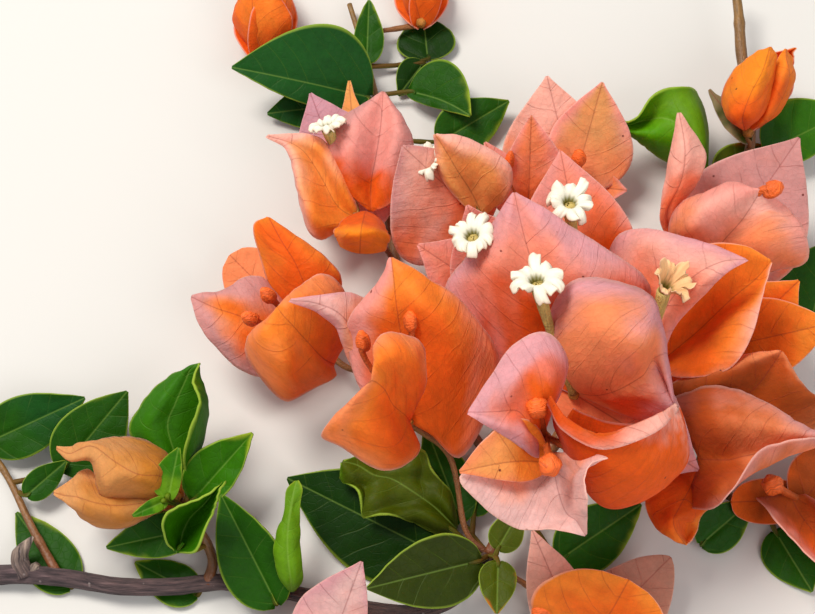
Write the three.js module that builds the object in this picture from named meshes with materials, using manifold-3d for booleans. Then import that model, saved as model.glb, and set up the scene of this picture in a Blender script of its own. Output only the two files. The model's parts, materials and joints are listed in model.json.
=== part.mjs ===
// A cut flowering branch of a bougainvillea, lying down: a woody stem with side stems,
// open blooms of papery bracts round small tubular flowers, closed heads and leaves.
// Millimetres. +X runs from the cut end along the branch and +Z is up.
import * as THREE from 'three';
import Module from 'manifold-3d';

// Driving dimensions.
const GAP = 0.33;
const VIEW_ANGLE = 66;
const BRACT_THICKNESS = 0.45;
const LEAF_THICKNESS = 0.5;
const LIMB_RADIUS = 5.2;
const STALK_RADIUS = 0.6;
const FLOWER_TUBE_RADIUS = 1.0;
const BUD_RADIUS = 1.7;

// Where the branch stands in its own frame: bottom centre of its box at the origin.
const SEAT = [-5.03, -14.78, -0.24];

// Blades share these values unless a record gives its own. wide is the half width over
// the length, left and right; fold and curve are degrees; bulge arches the midrib.
const BRACT = {
  thickness: BRACT_THICKNESS,
  outline: [0.7, 1.2],
  ends: [0.6, 0.3],
  rows: 4,
  columns: 2,
};
const LEAF = {
  thickness: LEAF_THICKNESS,
  outline: [0.6, 1.05],
  ends: [0.7, 0.3],
  lobe: 0.03,
  rows: 4,
  columns: 2,
};

const STEMS = [
  {
    name: 'stem_woody',
    path: [
      [-84, -48, 2.5],
      [-73, -48, 3],
      [-63.5, -49, 3],
      [-55, -50.5, 3.5],
      [-45, -50.5, 3.5],
      [-35, -49.5, 3],
      [-22.5, -51.5, 3],
      [-11, -54, 3],
      [0.5, -55.5, 3.5],
      [9, -53, 5],
      [15.5, -45.5, 8],
    ],
    radii: [2, 1.8, 1.7, 1.6, 1.5, 1.3],
    stubs: [{ path: [[-74, -47.5, 3], [-75, -44.5, 4.5], [-73, -41.5, 6]], radii: [1.5, 1.1, 0.5] }],
  },
  {
    name: 'stem_flowering',
    path: [
      [15.5, -45.5, 8],
      [21.5, -35, 10],
      [27.5, -25.5, 10],
      [33.5, -14.5, 9],
      [39.5, -0.5, 7],
      [48, 11.5, 5],
      [57.5, 19, 5],
    ],
    radii: [1.3, 1.2, 1.2, 1.1, 1.1, 1],
  },
  {
    name: 'stem_left',
    path: [
      [21.5, -35, 10],
      [12.5, -20, 7],
      [3.5, -2, 4.5],
      [-2, 16.5, 4],
      [-4.5, 33, 3.5],
      [-6, 53, 3],
      [-9, 68, 3],
      [-13, 82.5, 3.5],
    ],
    radii: [1.1, 1, 1, 0.9, 0.8, 0.7, 0.6],
  },
  {
    name: 'stem_top_right',
    path: [
      [57.5, 19, 5],
      [65.5, 28.5, 5],
      [73, 44, 6],
      [73, 57.5, 8],
      [72.5, 67, 9],
      [72.5, 75.5, 10],
      [72, 84, 11],
    ],
    radii: [1, 1.1, 1.1, 1.1, 1.3, 1.1, 1],
  },
  {
    name: 'stem_right',
    path: [
      [33.5, -14.5, 9],
      [46, -21.5, 6],
      [57.5, -29, 4],
      [69, -35.5, 3],
      [74.5, -37, 3],
    ],
    radii: [1.1, 1, 0.9, 0.8],
  },
  {
    name: 'stem_bud_shoot',
    path: [
      [-38.5, -50, 3.5],
      [-37.5, -45.5, 5],
      [-40, -40.5, 8],
      [-43, -36.5, 10],
    ],
    radii: [1.2, 1, 0.9, 0.8],
  },
  {
    name: 'stem_left_twig',
    path: [
      [-67, -48.5, 3],
      [-73, -39, 3],
      [-78.5, -29, 3],
      [-83.5, -22, 4],
    ],
    radii: [1, 0.8, 0.7, 0.6],
  },
  {
    name: 'stem_middle',
    path: [
      [39.5, -0.5, 7],
      [35.5, 11.5, 4.5],
      [32, 25, 3.5],
      [33.5, 34.5, 3],
    ],
    radii: [1, 0.9, 0.8, 0.7],
  },
];

// Each bloom: its heart, its stalk from the stem up, its bracts and its flowers.
const BLOOMS = [
  {
    name: 'bloom_front',
    heart: [25, -29, 29],
    stalk: [[23.5, -32, 10], [25, -31, 20]],
    colour: '#e49a8c',
    bracts: [
      { tip: [10.5, -31, 46], wide: [0.35, 0.78], bulge: 0.1, lobe: 0.3 },
      { tip: [32, -47.5, 30], wide: [0.24, 0.86], bulge: 0.05, fold: [30, 0], lobe: 0.05 },
      {
        tip: [47, -30, 46], face: [0, 0.64, -0.77], wide: [0.47, 0.22], bulge: -0.28, fold: [0, -40],
        lobe: 0.3,
      },
      { base: [24, -36, 35], tip: [9, -40.5, 43], wide: [0.18, 0.4], bulge: 0.1, lean: 0.05 },
    ],
    flowers: [
      { at: [22.5, -28, 44] },
      { at: [24.5, -41, 46] },
      { at: [32.5, -35.5, 36] },
    ],
  },
  {
    name: 'bloom_center',
    heart: [31.5, -18, 22],
    stalk: [[33.5, -14.5, 9]],
    colour: '#e8877c',
    bracts: [
      { tip: [20.5, 15.5, 41], wide: [0.5, 0.44], bulge: 0.05, fold: [-4, -10], wave: 0.012 },
      {
        tip: [47.5, -16.5, 30], wide: [1.34, 0.65], fold: [55, -35], curve: [-62, 0], bulge: 0.06,
        face: [0, 0.1, 1], lean: 0.1, outline: [0.42, 0.45],
      },
      { tip: [54.5, -32.5, 20], wide: 0.42 },
    ],
    flowers: [
      { at: [23.5, -3, 42], face: [-0.1, 0.15, 1] },
    ],
  },
  {
    name: 'bloom_left',
    heart: [0, -23, 20],
    stalk: [[15, -45, 8], [11, -41, 10], [8, -28, 15]],
    colour: '#e8702a',
    bracts: [
      { tip: [-2.5, 3, 38], wide: [0.38, 0.6], bulge: 0.05, lobe: 0.3, fold: [0, 8], curve: [0, 8] },
      { tip: [-22, -3.5, 33], face: [0.35, 0.5, 0.8], wide: [0.16, 0.42], fold: [60, 0], bulge: 0.02 },
      { tip: [-7.5, -23.5, 45], wide: [0.66, 0.5], twist: 6, fold: [-14, -44], lobe: 0.24 },
    ],
    flowers: [
      { at: [1, -8, 36] },
      { at: [-8.5, -13, 36.5] },
    ],
  },
  {
    name: 'bloom_right',
    heart: [47.5, -11, 14],
    stalk: [[40, -1, 7], [44, -6, 9]],
    colour: '#e0704a',
    bracts: [
      { tip: [64, 5.5, 33], wide: [0.7, 0.12], bulge: 0.05, outline: [0.6, 0.8] },
      { tip: [71, 9, 24], wide: [0.3, 0.3], bulge: 0.02, lean: -0.12 },
      { tip: [56, -17.5, 6], wide: 0.3, plain: true },
    ],
    flowers: [
      { at: [48.5, -0.5, 36], face: [0.2, 0.7, 0.7] },
    ],
  },
  {
    name: 'bloom_low_right',
    heart: [56.5, -28.5, 14],
    stalk: [[57.5, -29, 4], [57, -29, 9]],
    colour: '#dd7040',
    bracts: [
      { tip: [78, -30.5, 28], wide: [0.52, 0.36], bulge: 0.08, face: [0, 0.2, 1] },
      { tip: [72, -9, 22], wide: [0.5, 0.45] },
      { tip: [51, -45.5, 18], wide: [0.16, 0.5], bulge: 0.03 },
    ],
    flowers: [],
  },
  {
    name: 'bloom_back_right',
    heart: [61, 14, 8],
    stalk: [[58, 18.5, 5]],
    colour: '#e59a8c',
    bracts: [
      { tip: [53.5, 37.5, 32], wide: [0.06, 0.2], lean: -0.06 },
      { tip: [79, 36.5, 24], wide: [0.4, 0.42], bulge: 0.03 },
      { tip: [69, 21.5, 30], wide: [0.62, 0.62], fold: [-15, -30], outline: [0.5, 0.6] },
    ],
    flowers: [
      { at: [72.5, 22.5, 28] },
    ],
  },
  {
    name: 'bloom_high',
    heart: [36, 6, 12.5],
    stalk: [[36, 11, 4.5]],
    colour: '#e8887a',
    bracts: [
      { tip: [30, 29.5, 31], wide: [0.42, 0.36], bulge: 0.05 },
      { tip: [50.5, 13, 16], wide: 0.3, plain: true },
      { tip: [26.5, -1, 8], wide: 0.3, plain: true },
    ],
    flowers: [
      { at: [31, 16, 36], face: [0, 0.2, 1] },
    ],
  },
  {
    name: 'bloom_mid_left',
    heart: [19.5, 4, 14.5],
    stalk: [[2, 2.5, 4.5], [10.5, 4, 7]],
    colour: '#e8837a',
    bracts: [
      { tip: [2, 11, 27], wide: [0.35, 0.4], bulge: 0.05 },
      { tip: [11.5, 17, 32], wide: [0.36, 0.4], bulge: 0.03 },
      { tip: [22.5, -1, 8], wide: 0.3, plain: true },
    ],
    flowers: [
      { at: [12, 9, 36], face: [0, 0.2, 1] },
    ],
  },
  {
    name: 'bloom_upper_left',
    heart: [15, 25, 11],
    stalk: [[-3.5, 24, 4], [4.5, 23, 6]],
    colour: '#eb9a55',
    bracts: [
      { tip: [5.5, 35.5, 27], wide: [0.22, 0.54], bulge: 0.05, fold: [10, 14] },
      { tip: [-1, 34, 25], wide: [0.72, 0.3], outline: [0.5, 1] },
      { tip: [19, 18, 6], wide: 0.3, plain: true },
    ],
    flowers: [
      { at: [4, 33, 21], face: [-0.5, 0.2, 0.8] },
    ],
  },
  {
    name: 'bloom_far_right',
    heart: [65, -1.5, 6],
    stalk: [[49, 10.5, 5], [58, 5, 4.5]],
    colour: '#e07a20',
    bracts: [
      { tip: [77.5, 7.5, 18], wide: 0.4 },
      { tip: [83.5, -1.5, 18], wide: [0.36, 0.34], bulge: 0.05 },
      { tip: [72.5, -9, 6], wide: 0.3, plain: true },
    ],
    flowers: [],
  },
  {
    name: 'bloom_back_left',
    heart: [-10, 24, 10],
    stalk: [[-2, 17, 4], [-5.5, 21.5, 6.5]],
    colour: '#e58a72',
    bracts: [
      { tip: [-28.5, 38.5, 22], wide: [0.34, 0.24], fold: [10, 10] },
      { tip: [-5, 49.5, 20], wide: [0.35, 0.34], bulge: 0.04, outline: [0.5, 1] },
      { tip: [-20.5, 53, 14], wide: [0.3, 0.4] },
      {
        base: [-9, 22.5, 12], tip: [-14.5, 14.5, 24], wide: [0.62, 0.62], outline: [0.5, 0.5],
        bulge: 0.1,
      },
    ],
    flowers: [
      { at: [-16, 37.5, 28], face: [-0.1, 0.5, 0.8] },
    ],
  },
  {
    name: 'bloom_far_left',
    heart: [-17, -3, 8],
    stalk: [[5, -3.5, 4.5], [-3.5, -7, 5], [-11.5, -6.5, 6]],
    colour: '#e8812e',
    bracts: [
      { tip: [-42.5, 4, 18], wide: [0.38, 0.26] },
      { tip: [-29, 19, 22], wide: [0.32, 0.32], bulge: 0.05 },
      { tip: [-25, -4, 30], wide: [0.6, 0.45], twist: 5, fold: [-10, -20], bulge: 0.05 },
    ],
    flowers: [
      { at: [-31.5, -3.5, 26] },
      { at: [-28, 2, 26] },
    ],
  },
  {
    name: 'bloom_slim',
    heart: [25, 27, 8],
    stalk: [[31.5, 26.5, 3.5], [28, 27, 5]],
    colour: '#e5938a',
    bracts: [
      { tip: [25, 40.5, 26], wide: [0.24, 0.34] },
      { tip: [16, 40, 16], wide: 0.25, plain: true },
      { tip: [31.5, 39.5, 14], wide: 0.25, plain: true },
    ],
    flowers: [
      { at: [21.5, 37, 22] },
    ],
  },
  {
    name: 'bloom_top',
    heart: [35, 35, 7],
    stalk: [[33.5, 34, 3]],
    colour: '#e39c86',
    bracts: [
      { tip: [29, 53.5, 20], wide: [0.56, 0.3] },
      { tip: [40.5, 52, 20], wide: [0.34, 0.46] },
      { tip: [46, 33, 8], wide: 0.35, plain: true },
    ],
    flowers: [
      { at: [33.5, 37.5, 18] },
    ],
  },
  {
    name: 'bloom_low_far_right',
    heart: [77, -33.5, 4],
    stalk: [[74.5, -37, 3]],
    colour: '#d8703a',
    bracts: [
      { tip: [60.5, -37, 10], wide: [0.3, 0.3] },
      { tip: [82, -52, 10], wide: [0.2, 0.45] },
      { tip: [87.5, -23.5, 12], wide: [0.4, 0.3], plain: true },
    ],
    flowers: [
      { at: [68, -33.5, 16] },
    ],
  },
  {
    name: 'bloom_bottom',
    heart: [33, -62.5, 5],
    stalk: [[16, -46, 8], [19.5, -49, 7], [24.5, -52.5, 6]],
    colour: '#e88a30',
    bracts: [
      { tip: [23.5, -42.5, 14], wide: [0.26, 0.2] },
      { tip: [40, -54, 22], wide: [0.7, 0.6], bulge: 0.12, outline: [0.5, 0.5] },
      { tip: [49.5, -47, 12], wide: [0.3, 0.35] },
    ],
    flowers: [
      { at: [23.5, -56.5, 14] },
    ],
  },
  {
    name: 'bloom_bottom_left',
    heart: [-15.5, -64.5, 3],
    stalk: [[-11, -54, 3], [-13, -59, 3]],
    colour: '#e5a092',
    bracts: [
      { tip: [-8.5, -49, 16], wide: [0.4, 0.22] },
      { tip: [-23.5, -59.5, 10], wide: 0.35, plain: true },
      { tip: [-6.5, -64.5, 8], wide: 0.3, plain: true },
    ],
    flowers: [],
  },
  {
    name: 'head_top_right',
    heart: [71.5, 44.5, 12],
    stalk: [[73, 44, 6], [72.5, 44.5, 8.5]],
    colour: '#ee8a1c',
    bracts: [
      {
        tip: [74.5, 56, 27], face: [0.35, 0, -1], wide: [0.3, 0.34], bulge: -0.2, curve: [45, 45],
        fold: [8, 8],
      },
      { tip: [81, 59.5, 21], face: [-0.9, 0, -0.45], wide: [0.3, 0.3], bulge: -0.16, curve: [40, 40] },
      {
        tip: [80, 62, 17], face: [0, 0, 1], wide: [0.3, 0.3], bulge: -0.12, curve: [30, 30],
        plain: true,
      },
      { base: [71, 43.5, 12], tip: [64, 54.5, 13], wide: 0.14 },
    ],
    flowers: [],
  },
  {
    name: 'head_left',
    heart: [-44.5, -34.5, 10],
    stalk: [[-42.5, -36, 10]],
    colour: '#e0a35c',
    bracts: [
      {
        tip: [-66.5, -27, 16], face: [0, -0.55, -0.85], wide: [0.28, 0.34], bulge: -0.2,
        curve: [45, 35],
      },
      { tip: [-66, -37, 18], face: [0, 0.45, -0.85], wide: [0.3, 0.3], bulge: -0.16, curve: [40, 40] },
      {
        tip: [-62, -23.5, 10], face: [0, 0, 1], wide: [0.3, 0.3], bulge: -0.1, curve: [30, 30],
        plain: true,
      },
    ],
    flowers: [],
  },
  {
    name: 'head_top_left',
    heart: [-31.5, 67, 6],
    stalk: [[-11, 73.5, 3], [-20.5, 71.5, 4]],
    colour: '#ea8a35',
    bracts: [
      { tip: [-31.5, 84, 18], face: [0.5, 0, -1], wide: [0.4, 0.4], bulge: -0.2, curve: [50, 50] },
      { tip: [-29, 86.5, 14], face: [-0.8, 0, -0.5], wide: [0.35, 0.35], bulge: -0.2, curve: [45, 45] },
      {
        tip: [-31, 90.5, 9], face: [0, 0, 1], wide: [0.3, 0.3], bulge: -0.1, curve: [30, 30],
        plain: true,
      },
    ],
    flowers: [],
  },
  {
    name: 'head_top',
    heart: [3, 76.5, 5],
    stalk: [[-11, 75, 3], [-3.5, 75.5, 4]],
    colour: '#ea8a35',
    bracts: [
      { tip: [2.5, 91, 16], face: [0.5, 0, -1], wide: [0.32, 0.32], bulge: -0.18, curve: [50, 50] },
      { tip: [4, 93, 12], face: [-0.8, 0, -0.5], wide: [0.3, 0.3], bulge: -0.18, curve: [45, 45] },
      {
        tip: [3.5, 97, 7], face: [0, 0, 1], wide: [0.3, 0.3], bulge: -0.1, curve: [30, 30],
        plain: true,
      },
    ],
    flowers: [],
  },
];

const LEAVES = [
  {
    name: 'leaf_bud_upright',
    stalk: [[-42.5, -36, 10]],
    blades: [
      { base: [-42, -31, 10], tip: [-40.5, -11, 20], wide: [0.48, 0.2], fold: [10, 70] },
    ],
  },
  {
    name: 'leaf_bud_right',
    stalk: [[-42.5, -36.5, 10]],
    blades: [
      { base: [-41, -35, 10], tip: [-29.5, -24.5, 18], wide: [0.3, 0.22], fold: [15, 25] },
    ],
  },
  {
    name: 'leaf_bud_front',
    stalk: [[-38.5, -43, 6.5], [-41, -45, 9]],
    blades: [
      { base: [-43, -45.5, 12], tip: [-34, -35.5, 22], wide: [0.36, 0.3], fold: [20, 20] },
    ],
  },
  {
    name: 'leaf_bud_low',
    stalk: [[-40, -40.5, 8]],
    blades: [
      { base: [-41.5, -40.5, 8], tip: [-57.5, -44, 8], wide: [0.22, 0.26], fold: [10, 10] },
    ],
  },
  {
    name: 'leaf_stem_large',
    stalk: [[-25, -51, 3]],
    blades: [
      { base: [-25, -54, 4], tip: [-35.5, -35, 13], wide: [0.27, 0.22], fold: 8 },
    ],
  },
  {
    name: 'leaf_far_left',
    stalk: [[-83, -22.5, 4]],
    blades: [
      { base: [-83.5, -21.5, 4], tip: [-64, -13.5, 8], wide: [0.26, 0.26], fold: 5 },
    ],
  },
  {
    name: 'leaf_left_round',
    stalk: [[-78, -29.5, 3], [-73, -28.5, 3.5]],
    blades: [
      { base: [-68, -27, 4], tip: [-55.5, -12.5, 9], wide: [0.3, 0.34] },
    ],
  },
  {
    name: 'leaf_left_small',
    stalk: [[-76.5, -31.5, 3]],
    blades: [
      { base: [-74.5, -32.5, 4.5], tip: [-67, -26, 6], wide: [0.24, 0.24] },
    ],
  },
  {
    name: 'leaf_under_stem',
    stalk: [[-39.5, -50, 2.5]],
    blades: [
      { base: [-40.5, -51.5, 1], tip: [-53, -45, 1], face: [0, 0.41, 0.91], wide: [0.28, 0.25] },
    ],
  },
  {
    name: 'leaf_under_knot',
    stalk: [[-64.5, -49, 2.5]],
    blades: [
      { base: [-65, -50, 1], tip: [-77, -35, 1], face: [0, 0.41, 0.91], wide: [0.26, 0.24] },
    ],
  },
  {
    name: 'leaf_pair_bud',
    stalk: [[-43, -36.5, 10]],
    blades: [
      { base: [-45, -38.5, 20], tip: [-50.5, -42, 22], wide: [0.12, 0.12] },
      { base: [-44.5, -38, 20], tip: [-42.5, -29.5, 24], wide: [0.32, 0.12] },
    ],
  },
  {
    name: 'leaf_wavy',
    stalk: [[15.5, -45.5, 8], [12, -43, 6.5]],
    blades: [
      { base: [9, -40.5, 7], tip: [-12, -28, 12], wide: [0.26, 0.38], fold: [0, 5], wave: 0.03 },
    ],
  },
  {
    name: 'leaf_dark_wide',
    stalk: [[9, -53, 5], [8, -48.5, 4.5]],
    blades: [
      { base: [6.5, -44.5, 4], tip: [-23.5, -29.5, 6], wide: [0.3, 0.3] },
    ],
  },
  {
    name: 'leaf_folded',
    stalk: [[-22, -51.5, 3]],
    blades: [
      { base: [-21.5, -51, 5], tip: [-22.5, -33.5, 15], wide: [0.1, 0.1], fold: [50, 50] },
    ],
  },
  {
    name: 'leaf_olive',
    stalk: [[15.5, -45.5, 8]],
    blades: [
      { base: [13.5, -47.5, 11], tip: [-7.5, -53.5, 14], wide: [0.29, 0.29], fold: 8 },
    ],
  },
  {
    name: 'leaf_pair_node',
    stalk: [[15.5, -45.5, 8], [16.5, -46.5, 11]],
    blades: [
      { base: [17, -45.5, 12], tip: [21.5, -38, 14], wide: [0.3, 0.3] },
      { base: [17, -48, 12], tip: [16.5, -58, 13], wide: [0.3, 0.3] },
    ],
  },
  {
    name: 'leaf_pair_behind',
    stalk: [[15.5, -45.5, 8], [12.5, -40.5, 4.5]],
    blades: [
      { base: [10.5, -37.5, 4], tip: [3.5, -18, 5], wide: [0.2, 0.22] },
      { base: [13, -36, 4], tip: [17.5, -18.5, 3], wide: [0.18, 0.18] },
    ],
  },
  {
    name: 'leaf_below_bloom',
    stalk: [[21.5, -35.5, 10], [26, -41.5, 5]],
    blades: [
      { base: [29.5, -45, 3], tip: [45.5, -34.5, 5], wide: [0.3, 0.3] },
    ],
  },
  {
    name: 'leaf_pair_top_left',
    stalk: [[-6, 55, 3], [-8, 56, 4.5]],
    blades: [
      { base: [-8.5, 57.5, 5], tip: [-37.5, 60, 13], wide: [0.14, 0.42], bulge: 0.06, fold: 5 },
      { base: [-13.5, 57, 3], tip: [-30.5, 54.5, 3], wide: [0.25, 0.3] },
    ],
  },
  {
    name: 'leaf_top_upright',
    stalk: [[-9, 67, 3]],
    blades: [
      { base: [-9, 67, 4], tip: [-8.5, 80.5, 8], wide: [0.18, 0.22] },
    ],
  },
  {
    name: 'leaf_pair_top',
    stalk: [[-8.5, 66.5, 3], [-2, 67.5, 2]],
    blades: [
      { base: [4.5, 69, 2], tip: [3.5, 81, 1.5], wide: [0.5, 0.5] },
      { base: [3.5, 68, 2], tip: [-2, 60, 1.5], wide: [0.3, 0.35] },
    ],
  },
  {
    name: 'leaf_top_dark',
    stalk: [[-7, 59, 3]],
    blades: [
      { base: [0.5, 59.5, 4], tip: [13.5, 51, 8], wide: [0.5, 0.1], lean: -0.05 },
    ],
  },
  {
    name: 'leaf_top_low',
    stalk: [[-5.5, 49, 3], [0.5, 48, 2.5]],
    blades: [
      { base: [7, 47.5, 3], tip: [22, 56.5, 5], wide: [0.3, 0.3] },
    ],
  },
  {
    name: 'leaf_right_curled',
    stalk: [[72, 41.5, 6], [67.5, 40.5, 5]],
    blades: [
      { base: [63, 40, 5], tip: [43, 48, 14], wide: [0.22, 0.46], fold: [30, 5], bulge: 0.05 },
    ],
  },
  {
    name: 'leaf_right_round',
    stalk: [[66, 29.5, 5]],
    blades: [
      { base: [67, 35.5, 3], tip: [79.5, 46.5, 2], wide: [0.4, 0.2] },
    ],
  },
  {
    name: 'leaf_right_edge',
    stalk: [[73, 43.5, 6]],
    blades: [
      { base: [76.5, 43.5, 6], tip: [94, 51, 10], wide: [0.4, 0.25], wave: 0.02 },
    ],
  },
  {
    name: 'leaf_far_right',
    stalk: [[57.5, 19, 5], [71, 10, 3]],
    blades: [
      { base: [83, 5.5, 3], tip: [88, 21.5, 8], wide: [0.5, 0.3] },
    ],
  },
  {
    name: 'leaf_low_right',
    stalk: [[59, -29.5, 4], [58, -37, 3]],
    blades: [
      { base: [57, -42, 3], tip: [67, -34, 6], wide: [0.3, 0.3] },
    ],
  },
  {
    name: 'leaf_low_edge',
    stalk: [[70.5, -36, 3]],
    blades: [
      { base: [72, -39, 1.5], tip: [78, -51, 1.5], wide: [0.4, 0.35] },
    ],
  },
];

const wasm = await Module();
wasm.setup();

// A direction told as right, up and near for a viewer who looks down at the branch.
function facing([right, up, near]) {
  const tilt = THREE.MathUtils.degToRad(VIEW_ANGLE);
  const y = up * Math.sin(tilt) - near * Math.cos(tilt);
  const z = up * Math.cos(tilt) + near * Math.sin(tilt);
  return new THREE.Vector3(right, y, z).normalize();
}

function vector(values) {
  return new THREE.Vector3(...values);
}

function pair(value) {
  return Array.isArray(value) ? value : [value, value];
}

function radians(value) {
  return pair(value).map(THREE.MathUtils.degToRad);
}

// The cross section of one half of a blade, from the midrib out to the fraction v of its width.
function crossSection(v, fold, curve) {
  const steps = 12;
  let across = 0;
  let rise = 0;
  for (let k = 0; k < steps; k += 1) {
    const angle = fold + (curve * v * (k + 0.5)) / steps;
    across += (Math.cos(angle) * v) / steps;
    rise += (Math.sin(angle) * v) / steps;
  }
  return [across, rise];
}

// The middle surface of a bract or leaf blade, as a function of s from base to tip and
// of v from -1 at the left edge over 0 at the midrib to 1 at the right edge.
function bladeSurface(blade, grow) {
  const base = vector(blade.base);
  const tip = vector(blade.tip);
  const length = tip.distanceTo(base);
  const along = tip.clone().sub(base).normalize();
  const face = facing(blade.face ?? [0, 0, 1]);
  const normal = face.addScaledVector(along, -face.dot(along)).normalize();
  normal.applyAxisAngle(along, THREE.MathUtils.degToRad(blade.twist ?? 0));
  const sideways = along.clone().cross(normal);
  const wide = pair(blade.wide);
  const fold = radians(blade.fold ?? 0);
  const curve = radians(blade.curve ?? 0);
  const [p, q] = blade.outline;
  const widest = (p / (p + q)) ** p * (q / (p + q)) ** q;
  const bulge = blade.bulge ?? 0;
  const lean = blade.lean ?? 0;
  const lobe = blade.lobe ?? 0.12;
  const wave = blade.wave ?? 0;
  return (sIn, v) => {
    const s = THREE.MathUtils.clamp(sIn, 0, 1);
    const half = v < 0 ? 0 : 1;
    const arch = Math.sin(Math.PI * s);
    const slope = Math.PI * Math.cos(Math.PI * s);
    const point = base.clone().addScaledVector(along, length * s + grow * (2 * s - 1));
    point.addScaledVector(normal, length * bulge * arch);
    point.addScaledVector(sideways, length * lean * arch);
    const tangent = along.clone().addScaledVector(normal, bulge * slope);
    tangent.addScaledVector(sideways, lean * slope).normalize();
    const up = sideways.clone().cross(tangent).normalize();
    const side = tangent.clone().cross(up);
    const profile = (s ** p * (1 - s) ** q) / widest;
    const width = length * wide[half] * profile + blade.ends[0] * (1 - s) + blade.ends[1] * s + grow;
    const size = Math.abs(v);
    const [across, rise] = crossSection(size, fold[half], curve[half]);
    const ripple = Math.sin(4 * Math.PI * s + (half ? 0 : 1.9)) * size ** 3 * Math.sqrt(arch + 1e-9);
    point.addScaledVector(side, across * width * Math.sign(v));
    point.addScaledVector(up, rise * width + length * wave * ripple);
    point.addScaledVector(tangent, -lobe * length * v * v * (1 - s) ** 3 * Math.min(10 * s, 1));
    return point;
  };
}

// Rings of points round a blade from its base to its tip: over the top from the left edge
// to the right, and back underneath.
function bladeRings(blade, grow) {
  const surface = bladeSurface(blade, grow);
  const half = blade.thickness / 2 + grow;
  const rows = blade.plain ? 2 : blade.rows;
  const rings = [];
  for (let i = 0; i <= rows; i += 1) {
    const s = (i / rows) ** 1.3;
    const top = [];
    const bottom = [];
    for (let j = 0; j <= blade.columns; j += 1) {
      const v = (2 * j) / blade.columns - 1;
      const ds = surface(s + 0.02, v).sub(surface(s - 0.02, v));
      const right = surface(s, Math.min(v + 0.06, 1));
      const dv = right.sub(surface(s, Math.max(v - 0.06, -1)));
      const normal = dv.cross(ds).normalize();
      const middle = surface(s, v);
      top.push(middle.clone().addScaledVector(normal, half));
      bottom.unshift(middle.clone().addScaledVector(normal, -half));
    }
    rings.push([...top, ...bottom]);
  }
  return rings;
}

// Rings of points round a smooth curve, in the same order as those of a blade that ends it
// with the sideways direction side.
function stemRings(points, radii, { sides = 6, steps = points.length - 1, grow = 0, side } = {}) {
  const curve = new THREE.CatmullRomCurve3(points.map(vector), false, 'catmullrom', 0.5);
  const rings = [];
  let across = side;
  for (let k = steps; k >= 0; k -= 1) {
    const tangent = curve.getTangent(k / steps);
    const centre = curve.getPoint(k / steps);
    if (k === steps) centre.addScaledVector(tangent, grow);
    if (k === 0) centre.addScaledVector(tangent, -grow);
    if (!across) across = new THREE.Vector3(0.31, 0.17, 0.94).cross(tangent);
    across = across.clone().addScaledVector(tangent, -across.dot(tangent)).normalize();
    const up = across.clone().cross(tangent);
    const place = (k / steps) * (radii.length - 1);
    const low = Math.min(Math.floor(place), radii.length - 2);
    const radius = THREE.MathUtils.lerp(radii[low], radii[low + 1], place - low) + grow;
    const ring = [];
    for (let j = 0; j < sides; j += 1) {
      const angle = Math.PI - (Math.PI / sides) * (2 * j + 1);
      const point = centre.clone().addScaledVector(across, radius * Math.cos(angle));
      ring.push(point.addScaledVector(up, radius * Math.sin(angle)));
    }
    rings.unshift(ring);
  }
  return rings;
}

// A closed solid through rings of equal, even counts.
function loft(rings) {
  const count = rings[0].length;
  const last = (rings.length - 1) * count;
  const faces = [];
  for (let k = 0; k < rings.length - 1; k += 1) {
    for (let j = 0; j < count; j += 1) {
      const [a, b] = [k * count + j, k * count + ((j + 1) % count)];
      faces.push([a, b, b + count], [a, b + count, a + count]);
    }
  }
  for (let j = 0; j < count / 2 - 1; j += 1) {
    const [a, b, c, d] = [j, j + 1, count - 2 - j, count - 1 - j];
    faces.push([a, c, b], [a, d, c]);
    faces.push([last + a, last + b, last + c], [last + a, last + c, last + d]);
  }
  return closedSolid(rings.flat(), faces);
}

function bladeSolid(blade, grow = 0) {
  return loft(bladeRings(blade, grow));
}

function tube(points, radii, options) {
  return loft(stemRings(points, radii, options));
}

// The star-shaped rim of an open flower: five lobes with a notch between them.
function limb(at, face, grow = 0) {
  const centre = vector(at);
  const axis = facing(face);
  const across = new THREE.Vector3(1, 0, 0).addScaledVector(axis, -axis.x).normalize();
  const other = axis.clone().cross(across);
  const lobes = [1, 0.7];
  const count = 10;
  const vertices = [];
  const ring = (radiusOf, height) => {
    for (let j = 0; j < count; j += 1) {
      const angle = (2 * Math.PI * j) / count;
      const radius = radiusOf(j);
      const point = centre.clone().addScaledVector(axis, height);
      point.addScaledVector(across, radius * Math.cos(angle));
      vertices.push(point.addScaledVector(other, radius * Math.sin(angle)));
    }
  };
  ring((j) => lobes[j % 2] * LIMB_RADIUS + grow, -0.25 - grow);
  ring((j) => lobes[j % 2] * LIMB_RADIUS + grow, 0.3 + grow);
  ring(() => 1.4, grow);
  vertices.push(centre.clone().addScaledVector(axis, -1 + grow));
  vertices.push(centre.clone().addScaledVector(axis, -2 - grow));
  const faces = [];
  for (let j = 0; j < count; j += 1) {
    const k = (j + 1) % count;
    faces.push([j, k, count + k], [j, count + k, count + j]);
    faces.push([count + j, count + k, 2 * count + k], [count + j, 2 * count + k, 2 * count + j]);
    faces.push([2 * count + j, 2 * count + k, 3 * count], [j, 3 * count + 1, k]);
  }
  return closedSolid(vertices, faces);
}

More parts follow.
